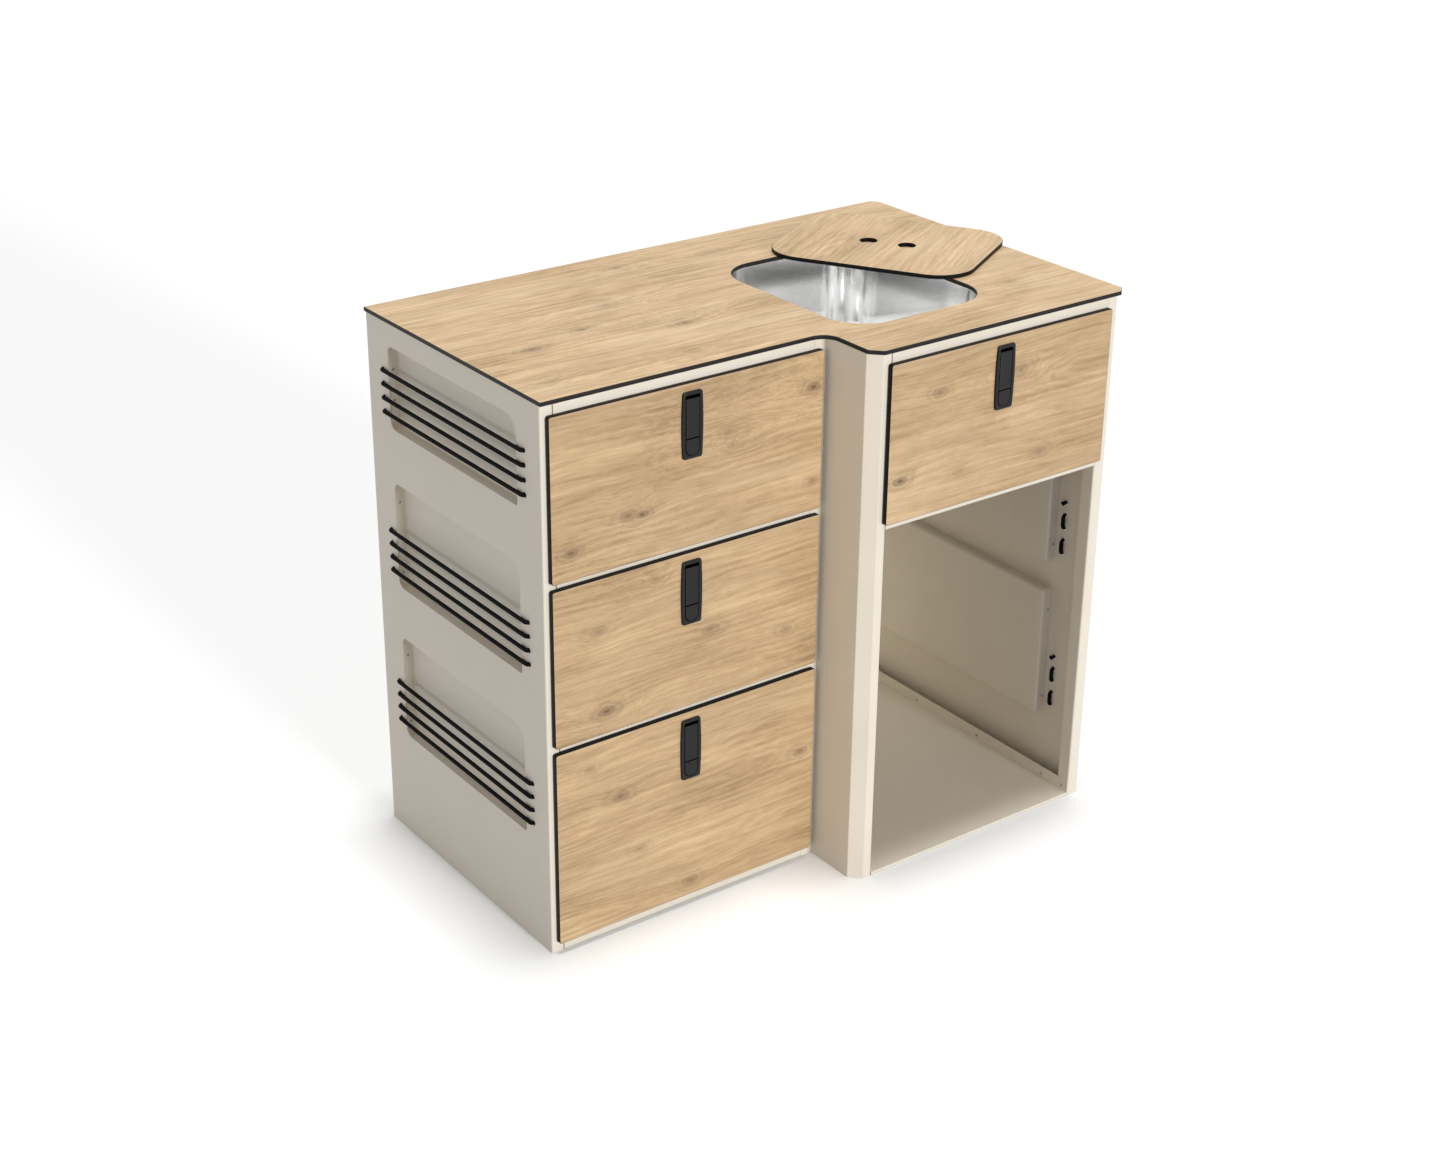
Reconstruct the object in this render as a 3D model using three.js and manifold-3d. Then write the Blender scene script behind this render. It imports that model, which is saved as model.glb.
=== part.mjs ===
// Campervan kitchen pod: two folded-steel modules side by side under one compact-board worktop.
// The left-hand module holds three drawers. The right-hand one stands further forward and holds
// a shallow drawer under the sink, with an open bay below it. Millimetres, +X right, +Y back, +Z up.
import * as THREE from "three";
import { mergeVertices } from "three/addons/utils/BufferGeometryUtils.js";
import Module from "manifold-3d";

const wasm = await Module();
wasm.setup();

// Folded steel
const sheet = 1.5; // thickness of the carcass sheet
const bendRadius = 3; // outside radius of a fold
const bendSteps = 3; // flats in one fold
const seat = 0.3; // gap between pieces that rest on each other
const facet = 10; // length of one flat on a rounded stretch
const overrun = 5; // how far a cutting solid reaches past what it cuts

// Carcass
const carcassHeight = 853.5;
const leftWidth = 480.5;
const rightWidth = 471.6;
const leftDepth = 474.5;
const forwardStep = 107; // how far the right-hand module stands in front of the left-hand one
const postFace = 21; // width of a post's front face
const postLip = 24; // depth of the lip folded back behind that face
const cornerChamfer = 17.5;
const dividerFace = 15.5; // front face of the chamfered post

// Floor pan and rear panel
const panLift = 4.3; // underside of the pan above the ground
const panFlange = 20; // height of the side flanges above the pan
const panBridgeInset = 6; // from a post's lip to the strip of pan that passes under the divider
const rearPanelMargin = 3;

// Drawer fronts and the rails behind their gaps
const frontThickness = 8;
const frontProud = 9; // outer face in front of the carcass
const frontCorner = 4;
const frontGap = 9.7;
const bottomReveal = 17.3;
const topReveal = 14.6;
const lowFrontShare = 0.391; // share of the height that the left-hand module's fronts take up
const middleFrontShare = 0.304;
const frontLeftMargin = 7.8; // from a post's left-hand end to the front
const leftFrontRightMargin = 9;
const rightFrontRightMargin = 18.3;
const railHeight = 13.4;
const topRailHeight = 24;
const railDepth = 20;

// Drawer trays and runners
const traySheet = 1.2;
const trayClearance = 6; // from a tray to the rail above or below it
const sinkTrayHeight = 50;
const runnerHeight = 45;
const runnerWidth = 12.4; // both members together
const runnerMemberDepth = 10;
const runnerSheet = 1.3;
const runnerGap = 0.5; // running clearance between the two members
const runnerSetback = 8; // from the carcass front and back to the ends of the runner
const runnerLift = 3; // from the tray's underside to the runner

// Latches
const bezelHeight = 99;
const bezelWidth = 36; // at the middle of its bowed sides
const bezelEndWidth = 33;
const bezelCorner = 4;
const bezelProud = 4;
const bezelBevel = 1;
const latchDrop = 61.4; // from the top of a front to the middle of its latch
const windowTop = 6; // from the bezel's top to the window
const leverTop = 10.3;
const leverLength = 59.2;
const leverWidth = 22.5;
const leverThickness = 5.4;
const latchRecess = 0.6; // from the bezel's rim back to the lever and the button
const latchClearance = 0.5; // around the lever and the button
const buttonLength = 24;
const buttonThickness = 8;
const buttonCorner = 8;
const buttonStem = 6;
const buttonStemLength = 8;
const housingWall = 1.8;
const housingDepth = 12; // from the front's face to the back of the window's floor
const mechanismWidth = 20;
const mechanismDepth = 11;
const boltWidth = 10;
const boltThickness = 5;
const boltInset = 3; // from the back of the window's floor to the bolt
const boltClearance = 0.5; // from the drawn-back bolt to its strike
const strikeMargin = 2; // around the bolt in the strike's slot
const pinRadius = 1.5;
const pinLength = 1.3;

// Worktop
const worktopThickness = 6.3;
const worktopOverhang = 3.5; // at the front
const worktopLeftOverhang = 1;
const worktopRearOverhang = 3.1;
const worktopRightOverhang = 17.4;
const worktopStepInset = 0.5; // from the divider's face to the worktop's edge
const worktopFillet = 27; // in the inner corner
const worktopChamfer = 17; // above the chamfered post
const frontRightClip = 14;
const rearRightClip = 11.5;

// Sink
const sinkWidth = 269;
const sinkLength = 336;
const sinkCorner = 65;
const sinkLeftMargin = 7; // from the right-hand bay's left side to the cut-out
const sinkFrontMargin = 92.5; // from the right-hand module's front to the cut-out
const bowlDepth = 140;
const bowlSheet = 1;
const bowlFlange = 12;
const bowlDraft = 6; // how much the walls lean in
const bowlFillet = 25;
const bowlSteps = 4; // flats in that fillet
const wasteFlangeRadius = 40;
const wasteFlangeThickness = 2;
const wasteBodyRadius = 30;
const wasteBoreRadius = 26;
const wasteNutRadius = 37;
const wasteNutHeight = 10;
const wasteCupHeight = 20;
const wasteTailRadius = 20;
const wasteTailBoreRadius = 17;
const wasteTailLength = 14;
const wasteFloor = 3;
const wasteBar = 3; // width and height of the crossed bars over the drain
const wasteSides = 16;

// Sink lid
const lidClearance = 3.7; // around the lid when it lies in the cut-out
const lidShiftX = 160; // from the middle of the sink to the middle of the lid
const lidShiftY = 108;
const lidTurnDegrees = 30.3;
const fingerHoleRadius = 13.5;
const fingerHolePitch = 64;
const fingerHoleSides = 16;

// Side pockets and their laced cords
const leftPocketBottomShare = 0.2075; // shares of the carcass height
const leftPocketPitchShare = 0.3004;
const leftPocketHeightShare = 0.1992;
const topPocketHeightShare = 0.1514;
const rightPocketBottomShare = 0.1343;
const rightPocketPitchShare = 0.3199;
const rightPocketHeightShare = 0.2583;
const leftPocketLengthShare = 0.7397; // shares of the depth of the panel that a pocket is in
const rightPocketLengthShare = 0.6915;
const leftCordRise = 23.5; // from a pocket's bottom to its lowest cord
const leftCordFrontReach = 19.8; // from the pocket's end to the cord's hole
const leftCordRearReach = 15;
const leftCordLines = 4;
const rightCordRise = 17.2;
const rightCordReach = 17.5;
const rightCordLines = 5;
const pocketFrontCorner = 24; // the large corner at the top front
const pocketRearCorner = 13; // the middle-sized corners at the rear
const pocketCorner = 5;
const pocketRelief = 1; // from the back of a pocket to the plane of the post's lip
const pocketClearance = 0.5; // from a panel's opening to the inside of the box behind it
const pocketFold = 3; // outside radius of the box's corners
const cordRadius = 3.2;
const cordSpacing = 21.7;
const cordStandoff = 0.5; // from the panel to the cord
const cordBend = 3.6;
const cordBendSteps = 2;
const cordSides = 8;
const cordHoleRadius = 3.8;
const knotRadius = 5.5;
const knotSides = 8;
const knotRings = 6;

// Places that follow from the sizes above
const totalWidth = leftWidth + rightWidth;
const leftModule = { left: postFace, right: leftWidth - postFace, front: 0 };
const rightModule = {
  left: leftWidth + cornerChamfer + dividerFace,
  right: totalWidth - postFace,
  front: -forwardStep,
};
const panTop = panLift + sheet;
const railOverlap = (railHeight - frontGap) / 2;
const frontsHeight = carcassHeight - bottomReveal - topReveal - 2 * frontGap;
const lowFrontHeight = lowFrontShare * frontsHeight;
const middleFrontHeight = middleFrontShare * frontsHeight;
const middleFrontBottom = bottomReveal + lowFrontHeight + frontGap;
const topFrontBottom = middleFrontBottom + middleFrontHeight + frontGap;
const topFrontHeight = carcassHeight - topReveal - topFrontBottom;
const trayLift = railOverlap + trayClearance;
const trayDrop = topRailHeight - topReveal + trayClearance;
const worktopBottom = carcassHeight + seat;
const worktopTop = worktopBottom + worktopThickness;
const sinkX = rightModule.left + sinkLeftMargin + sinkWidth / 2;
const sinkY = rightModule.front + sinkFrontMargin + sinkLength / 2;
const lidWidth = sinkWidth - 2 * lidClearance;
const lidLength = sinkLength - 2 * lidClearance;
const lidCorner = sinkCorner - lidClearance;
const lidX = sinkX + lidShiftX;
const lidTurn = THREE.MathUtils.degToRad(lidTurnDegrees);

const finishes = {
  cream: { color: 0xd9cfbf, roughness: 0.55, metalness: 0 },
  oak: { color: 0xcdae82, roughness: 0.5, metalness: 0 },
  black: { color: 0x1c1c1c, roughness: 0.4, metalness: 0 },
  elastic: { color: 0x0c0c0c, roughness: 0.8, metalness: 0 },
  steel: { color: 0xb8b8b6, roughness: 0.25, metalness: 1 },
  zinc: { color: 0xa9adb0, roughness: 0.4, metalness: 1 },
};

// A closed geometry as a solid that can be joined and cut.
function solid(geometry) {
  const bare = new THREE.BufferGeometry();
  bare.setAttribute("position", geometry.getAttribute("position"));
  bare.setIndex(geometry.getIndex());
  const merged = mergeVertices(bare);
  const triVerts = new Uint32Array(merged.index.array);
  const vertProperties = merged.attributes.position.array;
  return new wasm.Manifold(new wasm.Mesh({ numProp: 3, vertProperties, triVerts }));
}

// A named mesh of a solid, in one of the finishes.
function piece(name, body, finish) {
  const { vertProperties, triVerts } = body.getMesh();
  const geometry = new THREE.BufferGeometry();
  geometry.setAttribute("position", new THREE.BufferAttribute(vertProperties, 3));
  geometry.setIndex(new THREE.BufferAttribute(triVerts, 1));
  geometry.computeVertexNormals();
  const mesh = new THREE.Mesh(geometry, new THREE.MeshStandardMaterial(finishes[finish]));
  mesh.name = name;
  return mesh;
}

// A block between two values on each axis.
function block(x, y, z) {
  const geometry = new THREE.BoxGeometry(x[1] - x[0], y[1] - y[0], z[1] - z[0]);
  geometry.translate((x[0] + x[1]) / 2, (y[0] + y[1]) / 2, (z[0] + z[1]) / 2);
  return solid(geometry);
}

// How an outline drawn flat is turned: "x" draws it in Y and Z, "y" in X and Z, and "z" in X and Y.
const alongX = new THREE.Vector3(1, 0, 0);
const alongY = new THREE.Vector3(0, 1, 0);
const alongZ = new THREE.Vector3(0, 0, 1);
const turns = {
  x: new THREE.Matrix4().makeBasis(alongY, alongZ, alongX),
  y: new THREE.Matrix4().makeBasis(alongX, alongZ, alongY.clone().negate()),
  z: new THREE.Matrix4(),
};

// An outline extruded along an axis, between two values on it.
function prism(outline, axis, [from, to]) {
  const geometry = new THREE.ExtrudeGeometry(outline, { depth: to - from, bevelEnabled: false });
  geometry.translate(0, 0, axis === "y" ? -to : from);
  geometry.applyMatrix4(turns[axis]);
  return solid(geometry);
}

// The points of a rectangle whose corners are rounded, each by its own radius, anticlockwise from
// the corner at the left of the bottom side.
function roundedPoints([left, right], [bottom, top], radii) {
  const corners = [
    [left, bottom, 1, 1],
    [right, bottom, -1, 1],
    [right, top, -1, -1],
    [left, top, 1, -1],
  ];
  return corners.flatMap(([x, y, inX, inY], i) => {
    const radius = radii[i];
    const steps = Math.max(2, Math.round((radius * Math.PI) / 2 / facet));
    return Array.from({ length: steps + 1 }, (_, step) => {
      const angle = Math.PI + (i + step / steps) * (Math.PI / 2);
      return new THREE.Vector2(
        x + inX * radius + radius * Math.cos(angle),
        y + inY * radius + radius * Math.sin(angle),
      );
    });
  });
}

// The same rectangle as an outline, with one radius for all four corners.
function roundedOutline(x, y, radius) {
  return new THREE.Shape(roundedPoints(x, y, [radius, radius, radius, radius]));
}

// A regular many-sided outline round a point.
function roundOutline(x, y, radius, sides) {
  const points = Array.from({ length: sides }, (_, i) => {
    const angle = (2 * Math.PI * (i + 1 / 2)) / sides;
    return new THREE.Vector2(x + radius * Math.cos(angle), y + radius * Math.sin(angle));
  });
  return new THREE.Shape(points);
}

// The section of a bent strip of sheet. The corners lie on its outer side, the strip lies to the
// right of the way through them, and every corner turns to the right.
function bentStrip(corners, thickness, radius) {
  const points = corners.map(([x, y]) => new THREE.Vector2(x, y));
  const pivot = new THREE.Vector2();
  const way = (from, to) => to.clone().sub(from).normalize();
  const rightOf = (direction) => new THREE.Vector2(direction.y, -direction.x);
  const outer = [];
  const inner = [];
  points.forEach((point, i) => {
    const before = i > 0 ? way(points[i - 1], point) : null;
    const after = i < points.length - 1 ? way(point, points[i + 1]) : null;
    if (!before || !after) {
      outer.push(point);
      inner.push(point.clone().addScaledVector(rightOf(before ?? after), thickness));
      return;
    }
    const turn = Math.acos(before.dot(after));
    const centre = point.clone();
    centre.addScaledVector(before, -radius * Math.tan(turn / 2));
    centre.addScaledVector(rightOf(before), radius);
    for (let step = 0; step <= bendSteps; step += 1) {
      const spoke = rightOf(before).negate();
      spoke.rotateAround(pivot, (-turn * step) / bendSteps);
      outer.push(centre.clone().addScaledVector(spoke, radius));
      inner.push(centre.clone().addScaledVector(spoke, radius - thickness));
    }
  });
  return new THREE.Shape([...outer, ...inner.reverse()]);
}

// The outline of a channel of carcass sheet that is open towards the back.
function channelOutline(front, bottom, top, depth) {
  const corners = [
    [front + depth, bottom],
    [front, bottom],
    [front, top],
    [front + depth, top],
  ];
  return bentStrip(corners, sheet, bendRadius);
}

// A closed skin through flat rings of points, which turn anticlockwise as seen from the last ring.
function loft(rings) {
  const count = rings[0].length;
  const positions = rings.flat().flatMap((point) => point.toArray());
  const index = [];
  for (let level = 0; level < rings.length - 1; level += 1) {
    for (let i = 0; i < count; i += 1) {
      const next = (i + 1) % count;
      const a = level * count + i;
      const b = level * count + next;
      index.push(a, b, b + count, a, b + count, a + count);
    }
  }
  const top = (rings.length - 1) * count;
  for (let i = 1; i < count - 1; i += 1) {
    index.push(0, i + 1, i);
    index.push(top, top + i, top + i + 1);
  }
  const geometry = new THREE.BufferGeometry();
  geometry.setAttribute("position", new THREE.Float32BufferAttribute(positions, 3));
  geometry.setIndex(index);
  return geometry;
}

// A way along straight runs whose corners are points of their own, for an extrusion with a ring of
// points at each of them, square to the middle of the turn.
class Route extends THREE.Curve {
  constructor(points) {
    super();
    this.points = points;
  }

  stop(share) {
    return Math.round(share * (this.points.length - 1));
  }

  getPointAt(share) {
    return this.points[this.stop(share)].clone();
  }

  getTangentAt(share) {
    const i = this.stop(share);
    const here = this.points[i];
    const tangent = new THREE.Vector3();
    if (i > 0) tangent.add(here.clone().sub(this.points[i - 1]).normalize());
    if (i < this.points.length - 1) tangent.add(this.points[i + 1].clone().sub(here).normalize());
    return tangent.normalize();
  }
}

// The corners of a way, each replaced by a short rounded stretch.
function roundedWay(corners, radius, steps) {
  const way = [corners[0]];
  for (let i = 1; i < corners.length - 1; i += 1) {
    const back = corners[i - 1].clone().sub(corners[i]).normalize();
    const on = corners[i + 1].clone().sub(corners[i]).normalize();
    const centre = corners[i].clone().addScaledVector(back, radius).addScaledVector(on, radius);
    for (let step = 0; step <= steps; step += 1) {
      const angle = ((Math.PI / 2) * step) / steps;
      const point = centre.clone();
      point.addScaledVector(on, -radius * Math.cos(angle));
      point.addScaledVector(back, -radius * Math.sin(angle));
      way.push(point);
    }
  }
  way.push(corners[corners.length - 1]);
  return way;
}

// Pockets: the openings in the two outer panels, the shallow boxes behind them and their cords.
function pocketPlaces() {
  const leftMiddle = leftDepth / 2;
  const leftReach = (leftPocketLengthShare * leftDepth) / 2;
  const left = ["bottom", "middle", "top"].map((level, i) => ({
    name: `left_${level}`,
    wall: 0,
    inward: 1,
    bottom: (leftPocketBottomShare + i * leftPocketPitchShare) * carcassHeight,
    height: (level === "top" ? topPocketHeightShare : leftPocketHeightShare) * carcassHeight,
    front: leftMiddle - leftReach,
    back: leftMiddle + leftReach,
    cordRise: leftCordRise,
    cordLines: leftCordLines,
    frontReach: leftCordFrontReach,
    rearReach: leftCordRearReach,
  }));
  const rightMiddle = (leftDepth - forwardStep) / 2;
  const rightReach = (rightPocketLengthShare * (leftDepth + forwardStep)) / 2;
  const right = ["bottom", "top"].map((level, i) => ({
    name: `right_${level}`,
    wall: totalWidth,
    inward: -1,
    bottom: (rightPocketBottomShare + i * rightPocketPitchShare) * carcassHeight,
    height: rightPocketHeightShare * carcassHeight,
    front: rightMiddle - rightReach,
    back: rightMiddle + rightReach,
    cordRise: rightCordRise,
    cordLines: rightCordLines,
    frontReach: rightCordReach,
    rearReach: rightCordReach,
  }));
  return [...left, ...right];
}

// A stretch of X that starts and ends at two depths behind a pocket's outer wall.
function inwardSpan(pocket, from, to) {
  const ends = [pocket.wall + pocket.inward * from, pocket.wall + pocket.inward * to];
  return ends.sort((a, b) => a - b);
}

// A pocket's sides, grown by a margin, in an outline with its own four corner radii.
function pocketOutline(pocket, margin, radii) {
  const y = [pocket.front - margin, pocket.back + margin];
  const z = [pocket.bottom - margin, pocket.bottom + pocket.height + margin];
  return new THREE.Shape(roundedPoints(y, z, radii));
}

// The same sides with the square corners of a folded box, of one radius.
function pocketSection(pocket, margin, radius) {
  return pocketOutline(pocket, margin, [radius, radius, radius, radius]);
}

// The two ends of a pocket's cord lines, and their heights from the top one down.
function cordEnds(pocket) {
  const heights = Array.from(
    { length: pocket.cordLines },
    (_, i) => pocket.bottom + pocket.cordRise + (pocket.cordLines - 1 - i) * cordSpacing,
  );
  return { front: pocket.front - pocket.frontReach, back: pocket.back + pocket.rearReach, heights };
}

// A panel with the openings and cord holes of its pockets.
function pierced(panel, pockets) {
  return pockets.reduce((body, pocket) => {
    const span = inwardSpan(pocket, -overrun, sheet + seat);
    const { front, back, heights } = cordEnds(pocket);
    const holes = heights.flatMap((z) => [front, back].map((y) => [y, z]));
    const corners = [pocketCorner, pocketRearCorner, pocketRearCorner, pocketFrontCorner];
    const opened = body.subtract(prism(pocketOutline(pocket, 0, corners), "x", span));
    return holes.reduce((left, [y, z]) => {
      const hole = roundOutline(y, z, cordHoleRadius, cordSides);
      return left.subtract(prism(hole, "x", span));
    }, opened);
  }, panel);
}

// The shallow folded box behind an opening.
function pocketBox(pocket) {
  const back = postFace - pocketRelief;
  const outside = pocketSection(pocket, pocketClearance + sheet, pocketFold);
  const inside = pocketSection(pocket, pocketClearance, pocketFold - sheet);
  const box = prism(outside, "x", inwardSpan(pocket, sheet + seat, back));
  const hollow = prism(inside, "x", inwardSpan(pocket, -overrun, back - sheet));
  return piece(`pocket_box_${pocket.name}`, box.subtract(hollow), "cream");
}

// One elastic cord, laced to and fro across a pocket through the holes beyond its ends, with a knot
// behind the panel at each end of it.
function pocketCord(pocket) {
  const { front, back, heights } = cordEnds(pocket);
  const place = (depth, y, z) => new THREE.Vector3(pocket.wall + pocket.inward * depth, y, z);
  const outside = -(cordRadius + cordStandoff);
  const inside = sheet + cordRadius + cordStandoff;
  const knot = sheet + seat + knotRadius;
  const corners = [];
  heights.forEach((z, i) => {
    const [start, end] = i % 2 ? [back, front] : [front, back];
    const first = i === 0 ? knot : inside;
    const last = i === heights.length - 1 ? knot : inside;
    corners.push(place(first, start, z), place(outside, start, z));
    corners.push(place(outside, end, z), place(last, end, z));
  });
  const way = roundedWay(corners, cordBend, cordBendSteps);
  const section = roundOutline(0, 0, cordRadius, cordSides);
  const tube = new THREE.ExtrudeGeometry(section, {
    steps: way.length - 1,
    extrudePath: new Route(way),
  });
  const ends = [corners[0], corners[corners.length - 1]].map((end) => {
    const ball = new THREE.SphereGeometry(knotRadius, knotSides, knotRings);
    ball.translate(end.x, end.y, end.z);
    return solid(ball);
  });
  return piece(`pocket_cord_${pocket.name}`, solid(tube).add(ends[0]).add(ends[1]), "elastic");
}

// Carcass
const pockets = pocketPlaces();

function leftSidePanel() {
  const corners = [
    [postFace, postLip],
    [postFace, 0],
    [0, 0],
    [0, leftDepth],
    [postFace, leftDepth],
    [postFace, leftDepth - postLip],
  ];
  const strip = prism(bentStrip(corners, sheet, bendRadius), "z", [0, carcassHeight]);
  const cut = pierced(
    strip,
    pockets.filter((pocket) => pocket.inward > 0),
  );
  return piece("left_side_panel", cut, "cream");
}

function rightSidePanel() {
  const lip = totalWidth - postFace;
  const corners = [
    [lip, leftDepth - postLip],
    [lip, leftDepth],
    [totalWidth, leftDepth],
    [totalWidth, -forwardStep],
    [lip, -forwardStep],
    [lip, postLip - forwardStep],
  ];
  const strip = prism(bentStrip(corners, sheet, bendRadius), "z", [0, carcassHeight]);
  const cut = pierced(
    strip,
    pockets.filter((pocket) => pocket.inward < 0),
  );
  return piece("right_side_panel", cut, "cream");
}

// Where the strip of floor pan passes under the divider.
const bridge = [postLip + panBridgeInset, leftDepth - postLip - panBridgeInset];

// The divider carries the chamfered post of the right-hand module and, welded to its left side,
// the right-hand posts of the left-hand module. It is cut away over the bridge of the floor pan.
function dividerPanel() {
  const { left: bay } = rightModule;
  const { right: nook } = leftModule;
  const weld = leftWidth + sheet / 2;
  const height = [0, carcassHeight];
  const corners = [
    [bay, postLip - forwardStep],
    [bay, -forwardStep],
    [leftWidth + cornerChamfer, -forwardStep],
    [leftWidth, cornerChamfer - forwardStep],
    [leftWidth, leftDepth],
    [bay, leftDepth],
    [bay, leftDepth - postLip],
  ];
  const frontPost = [
    [weld, 0],
    [nook, 0],
    [nook, postLip],
  ];
  const rearPost = [
    [nook, leftDepth - postLip],
    [nook, leftDepth],
    [weld, leftDepth],
  ];
  const strips = [corners, frontPost, rearPost].map((points) =>
    prism(bentStrip(points, sheet, bendRadius), "z", height),
  );
  const notch = block(
    [leftWidth - overrun, leftWidth + overrun],
    [bridge[0] - seat, bridge[1] + seat],
    [-overrun, panTop + seat],
  );
  const body = strips[0].add(strips[1]).add(strips[2]).subtract(notch);
  return piece("divider_panel", body, "cream");
}

function floorPan() {
  const plate = [panLift, panTop];
  const flange = [panLift, panTop + panFlange];
  const left = [leftModule.left + seat, leftModule.right - seat];
  const right = [rightModule.left + seat, rightModule.right - seat];
  const leftY = [0, leftDepth];
  const rightY = [rightModule.front, leftDepth];
  const frontFlange = [panLift, bottomReveal + railOverlap];
  const blocks = [
    block(right, rightY, plate),
    block([left[1] - overrun, right[0] + overrun], bridge, plate),
    block([left[0], left[0] + sheet], leftY, flange),
    block(left, [0, sheet], frontFlange),
    block([right[1] - sheet, right[1]], rightY, flange),
  ];
  const body = blocks.reduce((pan, next) => pan.add(next), block(left, leftY, plate));
  return piece("floor_pan", body, "cream");
}

function rearPanel() {
  const x = [rearPanelMargin, totalWidth - rearPanelMargin];
  const y = [leftDepth + seat, leftDepth + seat + sheet];
  const z = [rearPanelMargin, carcassHeight - rearPanelMargin];
  return piece("rear_panel", block(x, y, z), "cream");
}

// A channel between a module's posts, with a slot for a latch bolt where it has a strike.
function rail(name, module, bottom, height, strikeX) {
  const outline = channelOutline(module.front, bottom, bottom + height, railDepth);
  const body = prism(outline, "x", [module.left + seat, module.right - seat]);
  if (strikeX === undefined) return piece(name, body, "cream");
  const reach = boltWidth / 2 + strikeMargin;
  const bolt = boltPlace(module.front);
  const slot = block(
    [strikeX - reach, strikeX + reach],
    [bolt[0] - strikeMargin, bolt[1] + strikeMargin],
    [bottom - overrun, bottom + bendRadius],
  );
  return piece(name, body.subtract(slot), "cream");
}

// Drawers
const leftFront = { left: frontLeftMargin, right: leftWidth - leftFrontRightMargin };
const rightFront = {
  left: leftWidth + cornerChamfer + frontLeftMargin,
  right: totalWidth - rightFrontRightMargin,
};
const topRailBottom = carcassHeight - topRailHeight;
const topTrayHeight = topFrontHeight - trayLift - trayDrop;
const drawers = [
  {
    name: "left_top",
    module: leftModule,
    front: leftFront,
    bottom: topFrontBottom,
    height: topFrontHeight,
    trayHeight: topTrayHeight,
    strike: topRailBottom,
  },
  {
    name: "left_middle",
    module: leftModule,
    front: leftFront,
    bottom: middleFrontBottom,
    height: middleFrontHeight,
    trayHeight: middleFrontHeight - trayLift - trayDrop,
    strike: topFrontBottom - frontGap - railOverlap,
  },
  {
    name: "left_bottom",
    module: leftModule,
    front: leftFront,
    bottom: bottomReveal,
    height: lowFrontHeight,
    trayHeight: lowFrontHeight - trayLift - trayDrop,
    strike: middleFrontBottom - frontGap - railOverlap,
  },
  {
    name: "right",
    module: rightModule,
    front: rightFront,
    bottom: topFrontBottom,
    height: topFrontHeight,
    trayHeight: sinkTrayHeight,
    strike: topRailBottom,
  },
];

// Sizes of the latch, measured from the middle of its bezel on the front's outer face.
const windowHeight = leverTop - windowTop + leverLength + latchClearance + buttonLength + latchClearance;
const windowWidth = leverWidth + 2 * latchClearance;
const windowZ = [bezelHeight / 2 - windowTop - windowHeight, bezelHeight / 2 - windowTop];
const housingX = [-windowWidth / 2 - housingWall, windowWidth / 2 + housingWall];
const housingZ = [windowZ[0] - housingWall, windowZ[1] + housingWall];
const leverZ = [bezelHeight / 2 - leverTop - leverLength, bezelHeight / 2 - leverTop];
const leverY = [latchRecess - bezelProud, latchRecess - bezelProud + leverThickness];
const pivotY = (leverY[0] + leverY[1]) / 2;
const pivotZ = leverZ[0] + leverThickness / 2;
const buttonZ = [leverZ[0] - latchClearance - buttonLength, leverZ[0] - latchClearance];

// The stretch of Y that a bolt takes behind a module's front.
function boltPlace(front) {
  const start = front - frontProud + housingDepth + boltInset;
  return [start, start + boltThickness];
}

// The bezel's outline with its bowed long sides, drawn in by an inset.
function bezelRing(inset, y) {
  const reach = bezelHeight / 2 - inset;
  const end = bezelEndWidth / 2 - inset;
  const radius = bezelCorner - inset;
  const bow = (bezelWidth - bezelEndWidth) / 2;
  const points = roundedPoints([-end, end], [-reach, reach], [radius, radius, radius, radius]);
  points.splice(points.length / 2, 0, new THREE.Vector2(end + bow, 0));
  points.push(new THREE.Vector2(-end - bow, 0));
  return points.map((point) => new THREE.Vector3(point.x, y, point.y));
}

// The latch housing: bezel, the well for the lever and the button, the mechanism's case and the
// bolt, which is drawn back just clear of its strike.
function latchHousing(drawer) {
  const rings = [
    bezelRing(0, -seat),
    bezelRing(0, bezelBevel - bezelProud),
    bezelRing(bezelBevel, -bezelProud),
  ];
  const bezel = solid(loft(rings));
  const well = block(housingX, [-seat - bezelBevel, housingDepth], housingZ);
  const mechanismX = [-mechanismWidth / 2, mechanismWidth / 2];
  const mechanismY = [housingDepth - housingWall / 2, housingDepth + mechanismDepth];
  const mechanism = block(mechanismX, mechanismY, [leverZ[0], housingZ[1]]);
  const boltY = boltPlace(frontProud);
  const middle = drawer.bottom + drawer.height - latchDrop;
  const boltZ = [housingZ[1] - overrun, drawer.strike - boltClearance - middle];
  const bolt = block([-boltWidth / 2, boltWidth / 2], boltY, boltZ);
  const windowX = [-windowWidth / 2, windowWidth / 2];
  const window = block(windowX, [-bezelProud - overrun, housingDepth - housingWall], windowZ);
  const pinHole = prism(roundOutline(pivotY, pivotZ, pinRadius + seat, cordSides), "x", [
    -windowWidth / 2 - housingWall / 2 - pinLength / 2,
    windowWidth / 2 + housingWall / 2 + pinLength / 2,
  ]);
  const stemReach = buttonStem / 2 + latchClearance;
  const stemZ = (buttonZ[0] + buttonZ[1]) / 2;
  const stemHole = block(
    [-stemReach, stemReach],
    [0, housingDepth + overrun],
    [stemZ - stemReach, stemZ + stemReach],
  );
  const body = bezel.add(well).add(mechanism).add(bolt);
  const cut = body.subtract(window).subtract(pinHole).subtract(stemHole);
  return piece(`latch_housing_${drawer.name}`, cut, "black");
}

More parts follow.
